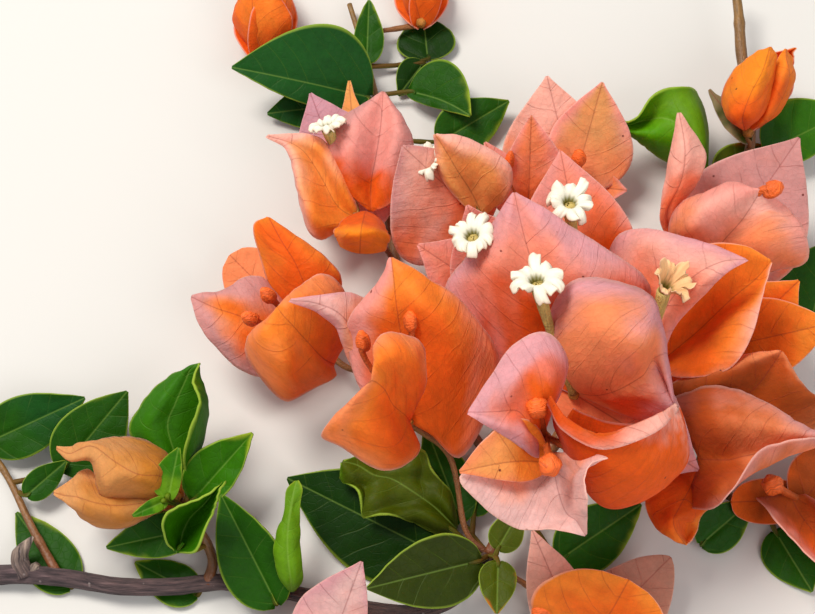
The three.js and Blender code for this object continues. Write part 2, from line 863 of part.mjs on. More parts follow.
// One flower on its tube, open where it has a face and a ribbed bud where it has none.
function flowerSolids(heart, flower, grow) {
  const from = vector(heart);
  const to = vector(flower.at);
  if (flower.face) {
    const axis = facing(flower.face);
    const below = to.clone().addScaledVector(axis, -1.2);
    const bend = from.clone().add(to.clone().addScaledVector(axis, -6)).multiplyScalar(0.5);
    const path = [from, bend, below].map((point) => point.toArray());
    const radii = [0.9, 1, 1.2].map((radius) => radius * FLOWER_TUBE_RADIUS);
    return [tube(path, radii, { grow }), limb(flower.at, flower.face, grow)];
  }
  const axis = to.clone().sub(from).normalize();
  const neck = to.clone().addScaledVector(axis, -4).toArray();
  const head = to.clone().addScaledVector(axis, -2).toArray();
  const radii = [0.8, 0.9, BUD_RADIUS, 0.9];
  return [tube([heart, neck, head, flower.at], radii, { grow })];
}

function closedSolid(vertices, faces) {
  const vertProperties = new Float32Array(vertices.flatMap((vertex) => vertex.toArray()));
  const triVerts = new Uint32Array(faces.flat());
  const mesh = new wasm.Mesh({ numProp: 3, vertProperties, triVerts });
  const solid = new wasm.Manifold(mesh);
  return solid.volume() < 0 ? null : solid;
}

function join(solids) {
  return solids.reduce((sum, solid) => sum.add(solid));
}

function largest(solid) {
  const pieces = solid.decompose();
  return pieces.reduce((best, piece) => (piece.volume() > best.volume() ? piece : best));
}

function boxesMeet(one, other) {
  const [a, b] = [one.boundingBox(), other.boundingBox()];
  return [0, 1, 2].every((k) => a.min[k] < b.max[k] && b.min[k] < a.max[k]);
}

function clearOf(solid, others) {
  return others.reduce((left, other) => (boxesMeet(left, other) ? left.subtract(other) : left), solid);
}

// What a bloom carries, plain or grown by the gap. Its bracts leave the heart one above
// another, the steepest on top, and its flowers stand on the top of the heart.
function bloomForms(bloom, grow) {
  const heart = vector(bloom.heart);
  const lift = facing([0, 0, 1]);
  const level = (height) => heart.clone().addScaledVector(lift, height);
  const steepness = ({ tip }) => vector(tip).sub(heart).normalize().z;
  const order = [...bloom.bracts].sort((one, other) => steepness(other) - steepness(one));
  const blades = bloom.bracts.map((bract) => {
    const foot = level(1 - order.indexOf(bract));
    const outward = vector(bract.tip).sub(foot).normalize();
    const base = foot.addScaledVector(outward, 0.4).toArray();
    return { ...BRACT, base, ...bract };
  });
  const top = level(1.7).toArray();
  return [
    ...blades.map((blade) => bladeSolid(blade, grow)),
    ...bloom.flowers.flatMap((flower) => flowerSolids(top, flower, grow)),
  ];
}

// A leaf blade and its petiole in one sweep; the second leaf of a pair leaves the same stalk.
function leafForms(leaf, grow) {
  return leaf.blades.map((blade, k) => {
    const rings = bladeRings({ ...LEAF, ...blade }, grow);
    const path = k === 0 ? [...leaf.stalk, blade.base] : [leaf.stalk.at(-1), blade.base];
    const side = rings[0][LEAF.columns].clone().sub(rings[0][0]);
    const petiole = stemRings(path, [STALK_RADIUS, STALK_RADIUS], { grow, side });
    return loft([...petiole.slice(0, -1), ...rings]);
  });
}

function leafStalk(leaf, grow) {
  const radii = [STALK_RADIUS, STALK_RADIUS];
  return join(leaf.blades.map(({ base }) => tube([...leaf.stalk, base], radii, { grow })));
}

// A stalk widens into the short heart that holds the bracts.
function bloomStalk(bloom, grow) {
  const heart = vector(bloom.heart);
  const lift = facing([0, 0, 1]);
  const seat = heart.clone().addScaledVector(lift, -2).toArray();
  const top = heart.clone().addScaledVector(lift, 2).toArray();
  const stalk = tube([...bloom.stalk, seat], [STALK_RADIUS, 0.8], { grow });
  return stalk.add(tube([seat, top], [1, 1.3], { grow }));
}

function stemSolid(stem, grow) {
  const options = { sides: 8, grow };
  const stubs = (stem.stubs ?? []).map(({ path, radii }) => tube(path, radii, { grow }));
  return join([tube(stem.path, stem.radii, options), ...stubs]);
}

function meshOf(solid, name, anchor, colour) {
  const { vertProperties, triVerts } = solid.getMesh();
  const geometry = new THREE.BufferGeometry();
  geometry.setAttribute('position', new THREE.BufferAttribute(new Float32Array(vertProperties), 3));
  geometry.setIndex(new THREE.BufferAttribute(new Uint32Array(triVerts), 1));
  geometry.translate(-anchor[0], -anchor[1], -anchor[2]);
  const material = new THREE.MeshStandardMaterial({ color: colour, roughness: 0.7 });
  const mesh = new THREE.Mesh(geometry, material);
  mesh.name = name;
  mesh.position.set(...anchor);
  return mesh;
}

function groupNamed(name) {
  const group = new THREE.Group();
  group.name = name;
  return group;
}

const branch = groupNamed('bougainvillea_branch');
const stemGroup = groupNamed('stems');
const bloomGroup = groupNamed('blooms');
const leafGroup = groupNamed('leaves');
branch.add(stemGroup, bloomGroup, leafGroup);

// Stems first, each later one kept a gap clear of the ones before it.
const stemSpace = [];
for (const stem of STEMS) {
  const solid = largest(clearOf(stemSolid(stem, 0), stemSpace));
  stemSpace.push(stemSolid(stem, GAP));
  stemGroup.add(meshOf(solid, stem.name, stem.path[0], '#5a4238'));
}

// Then every stalk, so that no blade cuts another item off its stem.
const items = [
  ...BLOOMS.map((bloom) => ({
    ...bloom,
    forms: (grow) => [bloomStalk(bloom, grow), ...bloomForms(bloom, grow)],
    carrier: (grow) => bloomStalk(bloom, grow),
    anchor: bloom.heart,
    group: bloomGroup,
  })),
  ...LEAVES.map((leaf) => ({
    ...leaf,
    forms: (grow) => leafForms(leaf, grow),
    carrier: (grow) => leafStalk(leaf, grow),
    anchor: leaf.blades[0].base,
    colour: '#3f7a1c',
    group: leafGroup,
  })),
];
const stalkSpace = items.map((item) => item.carrier(GAP));
const bladeSpace = [];
items.forEach((item, k) => {
  const own = stalkSpace[k];
  const others = [...stalkSpace.slice(k + 1), ...bladeSpace];
  const yielding = others.map((space) => (boxesMeet(space, own) ? space.subtract(own) : space));
  const taken = [...stemSpace, ...stalkSpace.slice(0, k), ...yielding];
  const solid = largest(clearOf(join(item.forms(0)), taken));
  bladeSpace.push(...item.forms(GAP));
  item.group.add(meshOf(solid, item.name, item.anchor, item.colour));
});

branch.position.set(...SEAT);

export default branch;
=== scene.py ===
# %% [markdown]
# A cut flowering branch of a bougainvillea, lying on a pale floor.
#
# The colour of this plant isn't in its flowers. Each bloom is three papery bracts, which are
# leaves that have turned colour, round a few small cream flowers on thin tubes. So most of this
# script makes thin curved sheets, and most of its shading is about light in thin sheets.
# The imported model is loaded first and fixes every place: the pieces made here grow from the
# same hearts, stalks and stems as its solids, in metres, with +Z up.

# %% Load the fixed frame
import json
import math

import bpy
import numpy as np
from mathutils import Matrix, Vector, noise


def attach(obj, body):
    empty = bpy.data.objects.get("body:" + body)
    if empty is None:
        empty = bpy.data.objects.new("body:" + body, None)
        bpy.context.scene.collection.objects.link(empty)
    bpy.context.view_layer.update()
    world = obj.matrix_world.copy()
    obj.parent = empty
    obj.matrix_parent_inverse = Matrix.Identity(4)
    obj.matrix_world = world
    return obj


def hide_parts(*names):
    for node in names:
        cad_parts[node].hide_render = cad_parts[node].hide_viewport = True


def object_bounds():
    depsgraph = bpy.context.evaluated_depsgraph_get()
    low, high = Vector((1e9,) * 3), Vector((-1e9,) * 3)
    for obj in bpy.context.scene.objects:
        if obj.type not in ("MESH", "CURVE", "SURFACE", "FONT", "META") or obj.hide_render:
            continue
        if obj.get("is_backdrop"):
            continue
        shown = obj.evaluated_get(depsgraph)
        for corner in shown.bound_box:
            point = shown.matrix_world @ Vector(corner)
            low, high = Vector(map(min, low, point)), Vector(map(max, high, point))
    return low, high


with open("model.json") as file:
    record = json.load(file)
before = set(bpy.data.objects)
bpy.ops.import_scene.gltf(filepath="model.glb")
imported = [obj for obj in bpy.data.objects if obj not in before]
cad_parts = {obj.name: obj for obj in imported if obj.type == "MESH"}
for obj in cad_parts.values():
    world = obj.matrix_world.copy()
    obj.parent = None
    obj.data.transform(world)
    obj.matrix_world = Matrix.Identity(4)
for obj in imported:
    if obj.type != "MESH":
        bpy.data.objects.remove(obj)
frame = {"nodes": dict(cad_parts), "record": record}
cad_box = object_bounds()
print("solids in the frame:", len(frame["nodes"]))

# %% [markdown]
# The camera comes next, because the branch is seen from steeply above and everything that
# faces the viewer is described by that direction. A 74 mm lens on a 36 mm wide sensor, at about
# a third of a metre, gives the flat perspective of a close plant portrait.

# %% Camera
MM = 0.001
VIEW_ANGLE = math.radians(66.0)
VIEW_DISTANCE = 325.0
SEAT = np.array([-5.03, -14.78, -0.24])
AIM = SEAT + np.array([0.0, 0.0, 22.0])
TOWARDS_VIEWER = np.array([0.0, -math.cos(VIEW_ANGLE), math.sin(VIEW_ANGLE)])

lens = bpy.data.cameras.new("portrait_lens")
lens.lens = 74.0
lens.sensor_width = 36.0
lens.sensor_fit = "HORIZONTAL"
lens.clip_start = 0.01
camera = bpy.data.objects.new("camera", lens)
camera.location = Vector((AIM + VIEW_DISTANCE * TOWARDS_VIEWER) * MM)
camera.rotation_euler = Vector(TOWARDS_VIEWER).to_track_quat("Z", "Y").to_euler()
bpy.context.scene.collection.objects.link(camera)
bpy.context.scene.camera = camera
print("camera at", [round(value, 3) for value in camera.location])

# %% [markdown]
# Plant parts are told as directions from the viewer's side: right, up in the picture and
# near. `facing` turns such a triple into a direction in the row's own axes. `noise_at` is a
# smooth random number from Blender's Perlin noise, always the same for the same place, so that
# no two runs differ.

# %% Directions and repeatable randomness
RIGHT = np.array([1.0, 0.0, 0.0])
UP = np.array([0.0, math.sin(VIEW_ANGLE), math.cos(VIEW_ANGLE)])


def unit(vectors):
    vectors = np.asarray(vectors, float)
    length = np.linalg.norm(vectors, axis=-1, keepdims=True)
    return vectors / np.maximum(length, 1e-9)


def facing(direction):
    right, up, near = direction
    return unit(right * RIGHT + up * UP + near * TOWARDS_VIEWER)


def pair(value):
    return value if isinstance(value, (tuple, list)) else (value, value)


def noise_at(points):
    return np.array([noise.noise(Vector(point)) for point in np.asarray(points, float)])


print("a face towards the viewer points", facing((0, 0, 1)).round(3))

# %% [markdown]
# A bract or leaf blade is one rule for all: a midrib from base to tip, a half width that
# swells and tapers, a fold at the midrib, a curl across each half and a ripple at the margin.
# A subdivision surface could be sculpted into each, but the rule keeps the blades alike in
# nature and lets each one differ by a few numbers.
# s runs from 0 at the base to 1 at the tip, v from -1 at the left margin to 1 at the right.

# %% The blade's middle surface
CROSS_STEPS = 12
OTHER_MARGIN = 1.9  # how far, in radians, the left margin's ripple runs ahead of the right one's


def half_section(size, fold, curl):
    across = np.zeros_like(size)
    rise = np.zeros_like(size)
    for step in range(CROSS_STEPS):
        part = size * (step + 0.5) / CROSS_STEPS
        angle = fold + curl * part
        across += np.cos(angle) * size / CROSS_STEPS
        rise += np.sin(angle) * size / CROSS_STEPS
    return across, rise


def blade_surface(blade):
    base, tip = np.array(blade["base"], float), np.array(blade["tip"], float)
    length = np.linalg.norm(tip - base)
    along = (tip - base) / length
    normal = facing(blade.get("face", (0, 0, 1)))
    normal = unit(normal - normal.dot(along) * along)
    sideways = np.cross(along, normal)
    wide = pair(blade["wide"])
    fold, curl = ([math.radians(angle) for angle in pair(blade.get(key, 0))]
                  for key in ("fold", "curve"))
    swell, taper = blade["outline"]
    widest = swell / (swell + taper)
    widest = widest ** swell * (1 - widest) ** taper
    bulge, lean, lobe = blade.get("bulge", 0), blade.get("lean", 0), blade["lobe"]
    wave, waves, phase = blade["wave"], blade["waves"], blade["phase"]

    def place(s, v):
        s = np.clip(s, 0, 1)
        arch, slope = np.sin(np.pi * s), np.pi * np.cos(np.pi * s)
        point = base + (length * s)[..., None] * along + (length * bulge * arch)[..., None] * normal
        point = point + (length * lean * arch)[..., None] * sideways
        tangent = along + (bulge * slope)[..., None] * normal + (lean * slope)[..., None] * sideways
        tangent = unit(tangent)
        up = unit(np.cross(sideways, tangent))
        side = np.cross(tangent, up)
        right = v >= 0
        size = np.abs(v)
        width = length * np.where(right, wide[1], wide[0]) * s ** swell * (1 - s) ** taper / widest
        width = width + blade["ends"][0] * (1 - s) + blade["ends"][1] * s
        left_part = half_section(size, fold[0], curl[0])
        right_part = half_section(size, fold[1], curl[1])
        across = np.where(right, right_part[0], -left_part[0]) * width
        height = np.where(right, right_part[1], left_part[1]) * width
        ripple = np.sin(2 * np.pi * waves * s + phase + np.where(right, 0, OTHER_MARGIN))
        height = height + length * wave * ripple * size ** 3 * np.sqrt(arch + 1e-9)
        back = lobe * length * v * v * (1 - s) ** 3
        point = point + across[..., None] * side + height[..., None] * up
        return point - back[..., None] * tangent, np.sign(v) * size * width

    return place, length


print("half of a flat blade:", [float(x) for x in half_section(np.array(1.0), 0, 0)])

# %% [markdown]
# The bracts nearest the viewer are folded, cupped and rolled in ways that no short rule gives.
# Each of those has a net instead: a few rows of five or seven points from base to tip, the outer
# two on the margins and the middle one on the midrib. A smooth curve is drawn through the points
# of each column, and then through each row, as a sheet is draped over pins. A row of one point
# is a pointed end, and is spread to a short line, `ROW_END` long to each side.

# %% The surface through a net of points
ROW_END = 0.4


def through_points(count, places):
    weights = np.zeros((len(places), count))
    for row, place in zip(weights, places):
        k = min(int(place), count - 2)
        t = place - k
        blend = (0.5 * (-t + 2 * t ** 2 - t ** 3), 0.5 * (2 - 5 * t ** 2 + 3 * t ** 3),
                 0.5 * (t + 4 * t ** 2 - 3 * t ** 3), 0.5 * (t ** 3 - t ** 2))
        for point, part in zip(range(k - 1, k + 3), blend):
            if point < 0:
                row[0] += 2 * part
                row[1] -= part
            elif point >= count:
                row[-1] += 2 * part
                row[-2] -= part
            else:
                row[point] += part
    return weights


def net_surface(net, s_line, v_line):
    rows = []
    columns = np.linspace(-1, 1, len(net[1]))
    for k, row in enumerate(net):
        if len(row) == 1:
            near = net[k + 1] if k == 0 else net[k - 1]
            sideways = ROW_END * unit(np.subtract(near[-1], near[0]))
            row = [np.array(row[0]) + part * sideways for part in columns]
        rows.append(row)
    points = np.array(rows, float)
    down = through_points(len(points), s_line * (len(points) - 1))
    over = through_points(points.shape[1], (v_line + 1) / 2 * (points.shape[1] - 1))
    middle = np.einsum("sr,rcx,vc->svx", down, points, over)
    centre = len(v_line) // 2
    steps = np.linalg.norm(np.diff(middle, axis=1), axis=-1)
    across = np.concatenate([np.zeros((len(s_line), 1)), np.cumsum(steps, axis=1)], axis=1)
    across = across - across[:, centre:centre + 1]
    rise = np.linalg.norm(np.diff(middle[:, centre], axis=0), axis=-1)
    along = np.concatenate([[0], np.cumsum(rise)])
    return middle, across, np.repeat(along[:, None], len(v_line), axis=1)


print("weights halfway along:", through_points(4, [1.5]).round(3))

# %% [markdown]
# A real bract is about 0.1 mm thick. Here it gets 0.22 mm and a rim, so that its edge catches
# light as paper's does and the mesh is closed. Fine creases are moved into the mesh as
# well, because a crease that only the material fakes is lost in the outline.
# Side veins leave the midrib every few millimetres and arch towards the tip. `vein_phase` says
# how far a point is from the vein before it, with some drift, because no two veins run alike.
# The mesh sinks along them, and each point remembers its phase, so that the material draws its
# veins in those same grooves.

# %% Side veins
VEIN_SLANT = 0.62       # millimetres towards the tip for each millimetre out from the midrib
VEIN_ARCH = 0.026       # and this much more for each square millimetre
VEIN_DRIFT = (2.6, 0.5)  # slow and quick wandering, in millimetres
DRIFT_SCALE = 0.07      # one slow wander in about 14 mm
OTHER_HALF = 31.0       # keeps the noise of the two halves apart


def vein_phase(blade, across, along):
    size = np.abs(across)
    side = np.where(across >= 0, 0.0, OTHER_HALF)
    flat = np.stack([size * DRIFT_SCALE, along * DRIFT_SCALE, side + blade["seed"]], axis=-1)
    flat = flat.reshape(-1, 3)
    drift = VEIN_DRIFT[0] * noise_at(flat) + VEIN_DRIFT[1] * noise_at(flat * (3.5, 3.5, 1))
    return along - VEIN_SLANT * size - VEIN_ARCH * size ** 2 + drift.reshape(size.shape)


print("4 mm out and 10 mm up, the phase is",
      vein_phase({"seed": 0.0}, np.array([4.0]), np.array([10.0])).round(2))

# %% [markdown]
# The sheet itself is worked out on a grid: the middle surface, its normals, and then the relief.
# Broad and fine noise give the creases, which calm down at both ends. The quilting rises between
# the veins and a groove follows the midrib. The faces of both sides are joined round the rim.

# %% A closed sheet
BROAD_CREASES = 0.13       # per millimetre: one crease in about 8 mm
FINE_CREASES = (0.55, 0.3)  # one in 2 mm across the blade and one in 3 mm along it
MIDRIB_WIDTH = 0.55        # of the groove, in millimetres


def sheet_grid(blade):
    rows, half_columns = blade["rows"], blade["half_columns"]
    s_line = np.linspace(0, 1, rows + 1)
    half = np.linspace(0, 1, half_columns + 1)[1:]
    v_line = np.concatenate([-half[::-1], [0.0], half])
    s, v = np.meshgrid(s_line, v_line, indexing="ij")
    if "net" in blade:
        middle, across, along = net_surface(blade["net"], s_line, v_line)
        ds, dv = np.gradient(middle, axis=0), np.gradient(middle, axis=1)
    else:
        place, length = blade_surface(blade)
        middle, across = place(s, v)
        along = s * length
        ds = place(s + 0.01, v)[0] - place(s - 0.01, v)[0]
        dv = place(s, np.minimum(v + 0.04, 1))[0] - place(s, np.maximum(v - 0.04, -1))[0]
    normal = unit(np.cross(dv, ds))
    seed = blade["seed"]
    flat = np.stack([across, along], axis=-1).reshape(-1, 2)
    broad = noise_at(np.c_[flat * BROAD_CREASES, np.full(len(flat), seed)]).reshape(s.shape)
    fine = noise_at(np.c_[flat * FINE_CREASES, np.full(len(flat), seed + 7.7)]).reshape(s.shape)
    phase = vein_phase(blade, across, along)
    calm = np.clip(s * 6, 0, 1) * np.clip((1 - s) * 9, 0, 1)
    crease = blade["crinkle"] * (broad * (0.5 + v ** 2) + 0.28 * fine)
    quilt = blade["quilt"] * np.abs(np.sin(np.pi * phase / blade["vein_gap"])) * np.abs(v) ** 0.5
    groove = -blade["groove"] * np.exp(-(across / MIDRIB_WIDTH) ** 2) * (1 - s)
    middle = middle + (calm * (crease + quilt + groove))[..., None] * normal
    return middle, normal, s, v, across, along, phase


def closed_sheet(blade):
    middle, normal, s, v, across, along, phase = sheet_grid(blade)
    half = blade["thickness"] / 2
    rows, columns = middle.shape[0], middle.shape[1]
    count = rows * columns
    points = np.concatenate([(middle + half * normal).reshape(-1, 3),
                             (middle - half * normal).reshape(-1, 3)])
    grid = np.arange(count).reshape(rows, columns)
    a, b = grid[:-1, :-1].ravel(), grid[1:, :-1].ravel()
    c, d = grid[1:, 1:].ravel(), grid[:-1, 1:].ravel()
    top = np.stack([a, d, c, b], axis=1)
    bottom = np.stack([a, b, c, d], axis=1) + count
    rim = np.concatenate([grid[:-1, 0], grid[-1, :-1], grid[:0:-1, -1], grid[0, :0:-1]])
    after = np.roll(rim, -1)
    sides = np.stack([rim, after, after + count, rim + count], axis=1)
    reach = np.stack([across, along, np.full_like(across, blade["seed"])], axis=-1)
    span = np.stack([v, s, phase], axis=-1)
    tint = blade_tint(blade, s, v, across)
    return {
        "points": points,
        "faces": np.concatenate([top, bottom, sides]),
        "reach": np.tile(reach.reshape(-1, 3), (2, 1)),
        "span": np.tile(span.reshape(-1, 3), (2, 1)),
        "tint": np.tile(tint.reshape(-1, 3), (2, 1)),
    }


print(f"creases about {1 / BROAD_CREASES:.0f} mm apart, midrib groove {2 * MIDRIB_WIDTH} mm wide")

# %% [markdown]
# Colours are written as the hex values that one would pick from a screen, and one function
# turns them to the linear light that shaders add up. A bract goes from a warm heart over its
# middle to a cooler margin and tip, in patches rather than evenly. That is partly the pigment
# fading with age and partly painted shade: the deeper orange of the heart also stands for the
# shade in the hollow where the bracts meet. That blend is worked out per point and stored as a
# colour attribute, because each bract has its own three tones while all share one material.

# %% Colours
PATCH_ACROSS, PATCH_ALONG = 0.09, 2.6  # one patch in 11 mm across, and 2.6 from base to tip
SMALLER = 3.6                          # how much finer the small patches are


def linear(hex_colour):
    values = [int(hex_colour[k:k + 2], 16) / 255 for k in (1, 3, 5)]
    return tuple(v / 12.92 if v <= 0.04045 else ((v + 0.055) / 1.055) ** 2.4 for v in values)


def smooth(value, low, high):
    t = np.clip((value - low) / (high - low), 0, 1)
    return t * t * (3 - 2 * t)


def blade_tint(blade, s, v, across):
    heart, middle, margin = (np.array(linear(TONES[name])) for name in blade["tones"])
    flat = np.stack([across * PATCH_ACROSS, s * PATCH_ALONG, np.full_like(s, blade["seed"])], axis=-1)
    flat = flat.reshape(-1, 3)
    patch = (noise_at(flat) + 0.4 * noise_at(flat * SMALLER + 9.0)).reshape(s.shape)
    # Painted shade in part: the heart's deeper tone, held near the base, also stands for the shade where the
    # bracts meet.
    inner = smooth(s + 0.35 * patch, *blade["warmth"])
    left, right = pair(blade.get("fading", 1))
    side = np.where(v >= 0, right, left)
    outer = side * (0.55 * np.abs(v) ** 1.6 + 0.62 * s ** 2)
    outer = smooth(outer + 0.4 * patch, *blade["fades"])
    colour = heart * (1 - inner)[..., None] + middle * inner[..., None]
    return colour * (1 - outer)[..., None] + margin * outer[..., None]


TONES = {
    "ember": "#E25A10",
    "orange": "#F0701A",
    "amber": "#F79A34",
    "honey": "#F8B868",
    "apricot": "#F7A46C",
    "coral": "#F68C5A",
    "salmon": "#F8A688",
    "rose": "#F4B0A4",
    "lilac": "#E8B2B8",
    "mauve": "#DCA6A2",
    "peach": "#E6AE6C",
    "tan": "#D68E30",
    "violet": "#DCAAB8",
    "clay": "#C8947E",
    "shade_green": "#2A3602",
    "pale": "#F8C8B8",
    "blush": "#EFCCC8",
    "rust": "#CA5E22",
    # shade_umber is painted shade: a dark brown for bracts that lie in shade.
    "shade_umber": "#A84C14",
    "gold": "#FBA428",
    "scale": "#9A8E64",
    "leaf_green": "#1C4A00",
    "deep_green": "#103000",
    "bright_green": "#2E6600",
    "olive": "#424E04",
    "blue_green": "#164814",
    "lime": "#8A9C24",
    "young_green": "#5A840E",
    "fresh_green": "#4E9000",
}
print("tones:", ", ".join(TONES))

# %% [markdown]
# Stalks, stems and flower tubes are round sections swept along a smooth curve through a few
# points. Blender's own bevelled curves would do, but a swept mesh can also be ribbed, knotted
# and given the same colour and reach attributes as the blades.

# %% Swept stems
ACROSS = (0.31, 0.17, 0.94)  # no stem starts out this way, so its first ring can be set by it


def smooth_path(points, steps):
    points = np.array(points, float)
    last = len(points) - 1
    path = []
    for step in range(steps + 1):
        place = step / steps * last
        k = min(int(place), last - 1)
        t = place - k
        p1, p2 = points[k], points[k + 1]
        p0 = points[k - 1] if k > 0 else 2 * p1 - p2
        p3 = points[k + 2] if k + 2 <= last else 2 * p2 - p1
        path.append(0.5 * (2 * p1 + (p2 - p0) * t + (2 * p0 - 5 * p1 + 4 * p2 - p3) * t ** 2
                           + (3 * p1 - p0 - 3 * p2 + p3) * t ** 3))
    return np.array(path)


def ring_corners(grid):
    after = np.roll(grid, -1, axis=1)
    return grid[:-1].ravel(), after[:-1].ravel(), after[1:].ravel(), grid[1:].ravel()


def swept(points, radii, sides, steps, section, tones, seed):
    path = smooth_path(points, steps)
    tangent = unit(np.gradient(path, axis=0))
    line = np.linspace(0, 1, steps + 1)
    radius = np.interp(line, np.linspace(0, 1, len(radii)), radii)
    travelled = np.concatenate([[0], np.cumsum(np.linalg.norm(np.diff(path, axis=0), axis=1))])
    across = np.cross(tangent[0], ACROSS)
    angle = np.arange(sides) * 2 * np.pi / sides
    rings, reach, span, tint = [], [], [], []
    first, last = (np.array(linear(tone)) for tone in tones)
    for k in range(steps + 1):
        across = unit(across - across.dot(tangent[k]) * tangent[k])
        other = np.cross(tangent[k], across)
        size = np.full(sides, radius[k])
        if section is not None:
            size = section(size, angle, travelled[k])
        rings.append(path[k] + (size * np.cos(angle))[:, None] * across
                     + (size * np.sin(angle))[:, None] * other)
        turn = np.minimum(angle, 2 * np.pi - angle)
        reach.append(np.stack([turn * radius[k], np.full(sides, travelled[k]),
                               np.full(sides, seed)], axis=-1))
        span.append(np.stack([turn / np.pi, np.full(sides, line[k]), np.ones(sides)], axis=-1))
        tint.append(np.tile(first * (1 - line[k]) + last * line[k], (sides, 1)))
    count = (steps + 1) * sides
    grid = np.arange(count).reshape(steps + 1, sides)
    a, b, c, d = ring_corners(grid)
    caps = [[int(k) for k in grid[0][::-1]], [int(k) for k in grid[-1]]]
    return {
        "points": np.concatenate(rings),
        "faces": [list(map(int, quad)) for quad in np.stack([a, b, c, d], axis=1)] + caps,
        "reach": np.concatenate(reach),
        "span": np.concatenate(span),
        "tint": np.concatenate(tint),
    }


print("halfway along a bent path:", smooth_path([(0, 0, 0), (4, 2, 0), (8, 0, 0)], 4)[2])

# %% [markdown]
# Every piece is built from such parts. `grow_piece` joins them into one mesh, moves them to
# where the branch lies, stores the attributes, hides the solid that the piece stands for and
# makes it ride on the branch, which has one body.

# %% From parts to a finished piece
pieces = {}


def grow_piece(name, parts, material, stands_for):
    points = (np.concatenate([part["points"] for part in parts]) + SEAT) * MM
    faces, start = [], 0
    for part in parts:
        faces += [[int(k) + start for k in face] for face in part["faces"]]
        start += len(part["points"])
    mesh = bpy.data.meshes.new(name)
    mesh.from_pydata(points.tolist(), [], faces)
    for key in ("reach", "span"):
        values = np.concatenate([part[key] for part in parts]).astype(np.float32)
        layer = mesh.attributes.new(key, "FLOAT_VECTOR", "POINT")
        layer.data.foreach_set("vector", values.ravel())
    colour = np.concatenate([part["tint"] for part in parts])
    colour = np.c_[colour, np.ones(len(colour))].astype(np.float32)
    layer = mesh.attributes.new("tint", "FLOAT_COLOR", "POINT")
    layer.data.foreach_set("color", colour.ravel())
    mesh.polygons.foreach_set("use_smooth", np.ones(len(mesh.polygons), bool))
    mesh.materials.append(material)
    piece = bpy.data.objects.new(name, mesh)
    bpy.context.scene.collection.objects.link(piece)
    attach(piece, "root")
    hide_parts(stands_for)
    pieces[name] = len(mesh.polygons)


print("pieces so far:", len(pieces))

# %% [markdown]
# One small function adds a shader node: what kind it is, its settings, and what goes into its
# sockets. A value that is itself an output socket is linked, anything else is typed in.

# %% Adding a node
def add(tree, kind, inputs=None, **settings):
    node = tree.nodes.new(kind)
    for key, value in settings.items():
        setattr(node, key, value)
    for key, value in (inputs or {}).items():
        if isinstance(value, bpy.types.NodeSocket):
            tree.links.new(value, node.inputs[key])
        else:
            node.inputs[key].default_value = value
    return node


def new_material(name):
    material = bpy.data.materials.new(name)
    material.use_nodes = True
    material.node_tree.nodes.clear()
    return material, material.node_tree


def rgba(hex_colour):
    return (*linear(hex_colour), 1.0)


print("petal cream in linear light:", [round(value, 3) for value in rgba("#F6F2E0")])

# %% [markdown]
# Bract tissue is dead-thin, dry and matt: paper with plant veins. It is a dielectric of
# refractive index near 1.45 and fairly rough, and much of the light that falls on it comes out
# at the back, warmer. So a translucent shader is mixed with the plain one.
# Veins are one dark line for the midrib, the side veins whose phase the mesh carries, fading in
# and out, and a faint net of cells. `reach` holds millimetres on the blade itself, so each
# scale below is one over a real size.

# %% Vein pattern, shared by bracts and leaves
NET_CELL = 1.35     # millimetres
MOTTLE_CELL = 2.4   # millimetres
VEIN_FADING = 0.16  # per millimetre: veins come and go over about 6 mm


def vein_nodes(tree, reach, span, spacing, width):
    across = add(tree, "ShaderNodeSeparateXYZ", {0: reach}).outputs["X"]
    phase = add(tree, "ShaderNodeSeparateXYZ", {0: span}).outputs["Z"]
    size = add(tree, "ShaderNodeMath", {0: across}, operation="ABSOLUTE").outputs[0]
    nearest = add(tree, "ShaderNodeMath", {0: phase, 1: spacing / 2},
                  operation="PINGPONG").outputs[0]
    side = add(tree, "ShaderNodeMapRange", {"Value": nearest, "From Min": width, "From Max": 0.0},
               interpolation_type="SMOOTHSTEP").outputs[0]
    fading = add(tree, "ShaderNodeTexNoise", {"Vector": reach, "Scale": VEIN_FADING,
                                              "Detail": 2.0}).outputs["Fac"]
    fading = add(tree, "ShaderNodeMapRange", {"Value": fading, "From Min": 0.38, "From Max": 0.62,
                                              "To Min": 0.12}).outputs[0]
    side = add(tree, "ShaderNodeMath", {0: side, 1: fading}, operation="MULTIPLY").outputs[0]
    midrib = add(tree, "ShaderNodeMapRange", {"Value": size, "From Min": width * 1.15,
                                              "From Max": 0.0},
                 interpolation_type="SMOOTHSTEP").outputs[0]
    net = add(tree, "ShaderNodeTexVoronoi", {"Vector": reach, "Scale": 1 / NET_CELL},
              feature="DISTANCE_TO_EDGE", voronoi_dimensions="2D").outputs["Distance"]
    net = add(tree, "ShaderNodeMapRange", {"Value": net, "From Min": 0.1,
                                           "From Max": 0.0}).outputs[0]
    return side, midrib, net


def mottle_nodes(tree, reach, low, high):
    mottle = add(tree, "ShaderNodeTexNoise", {"Vector": reach, "Scale": 1 / MOTTLE_CELL,
                                              "Detail": 5.0, "Roughness": 0.7}).outputs["Fac"]
    return add(tree, "ShaderNodeMapRange", {"Value": mottle, "From Min": 0.3, "From Max": 0.7,
                                            "To Min": low, "To Max": high}).outputs[0]


print(f"net cells {NET_CELL} mm, mottling {MOTTLE_CELL} mm")
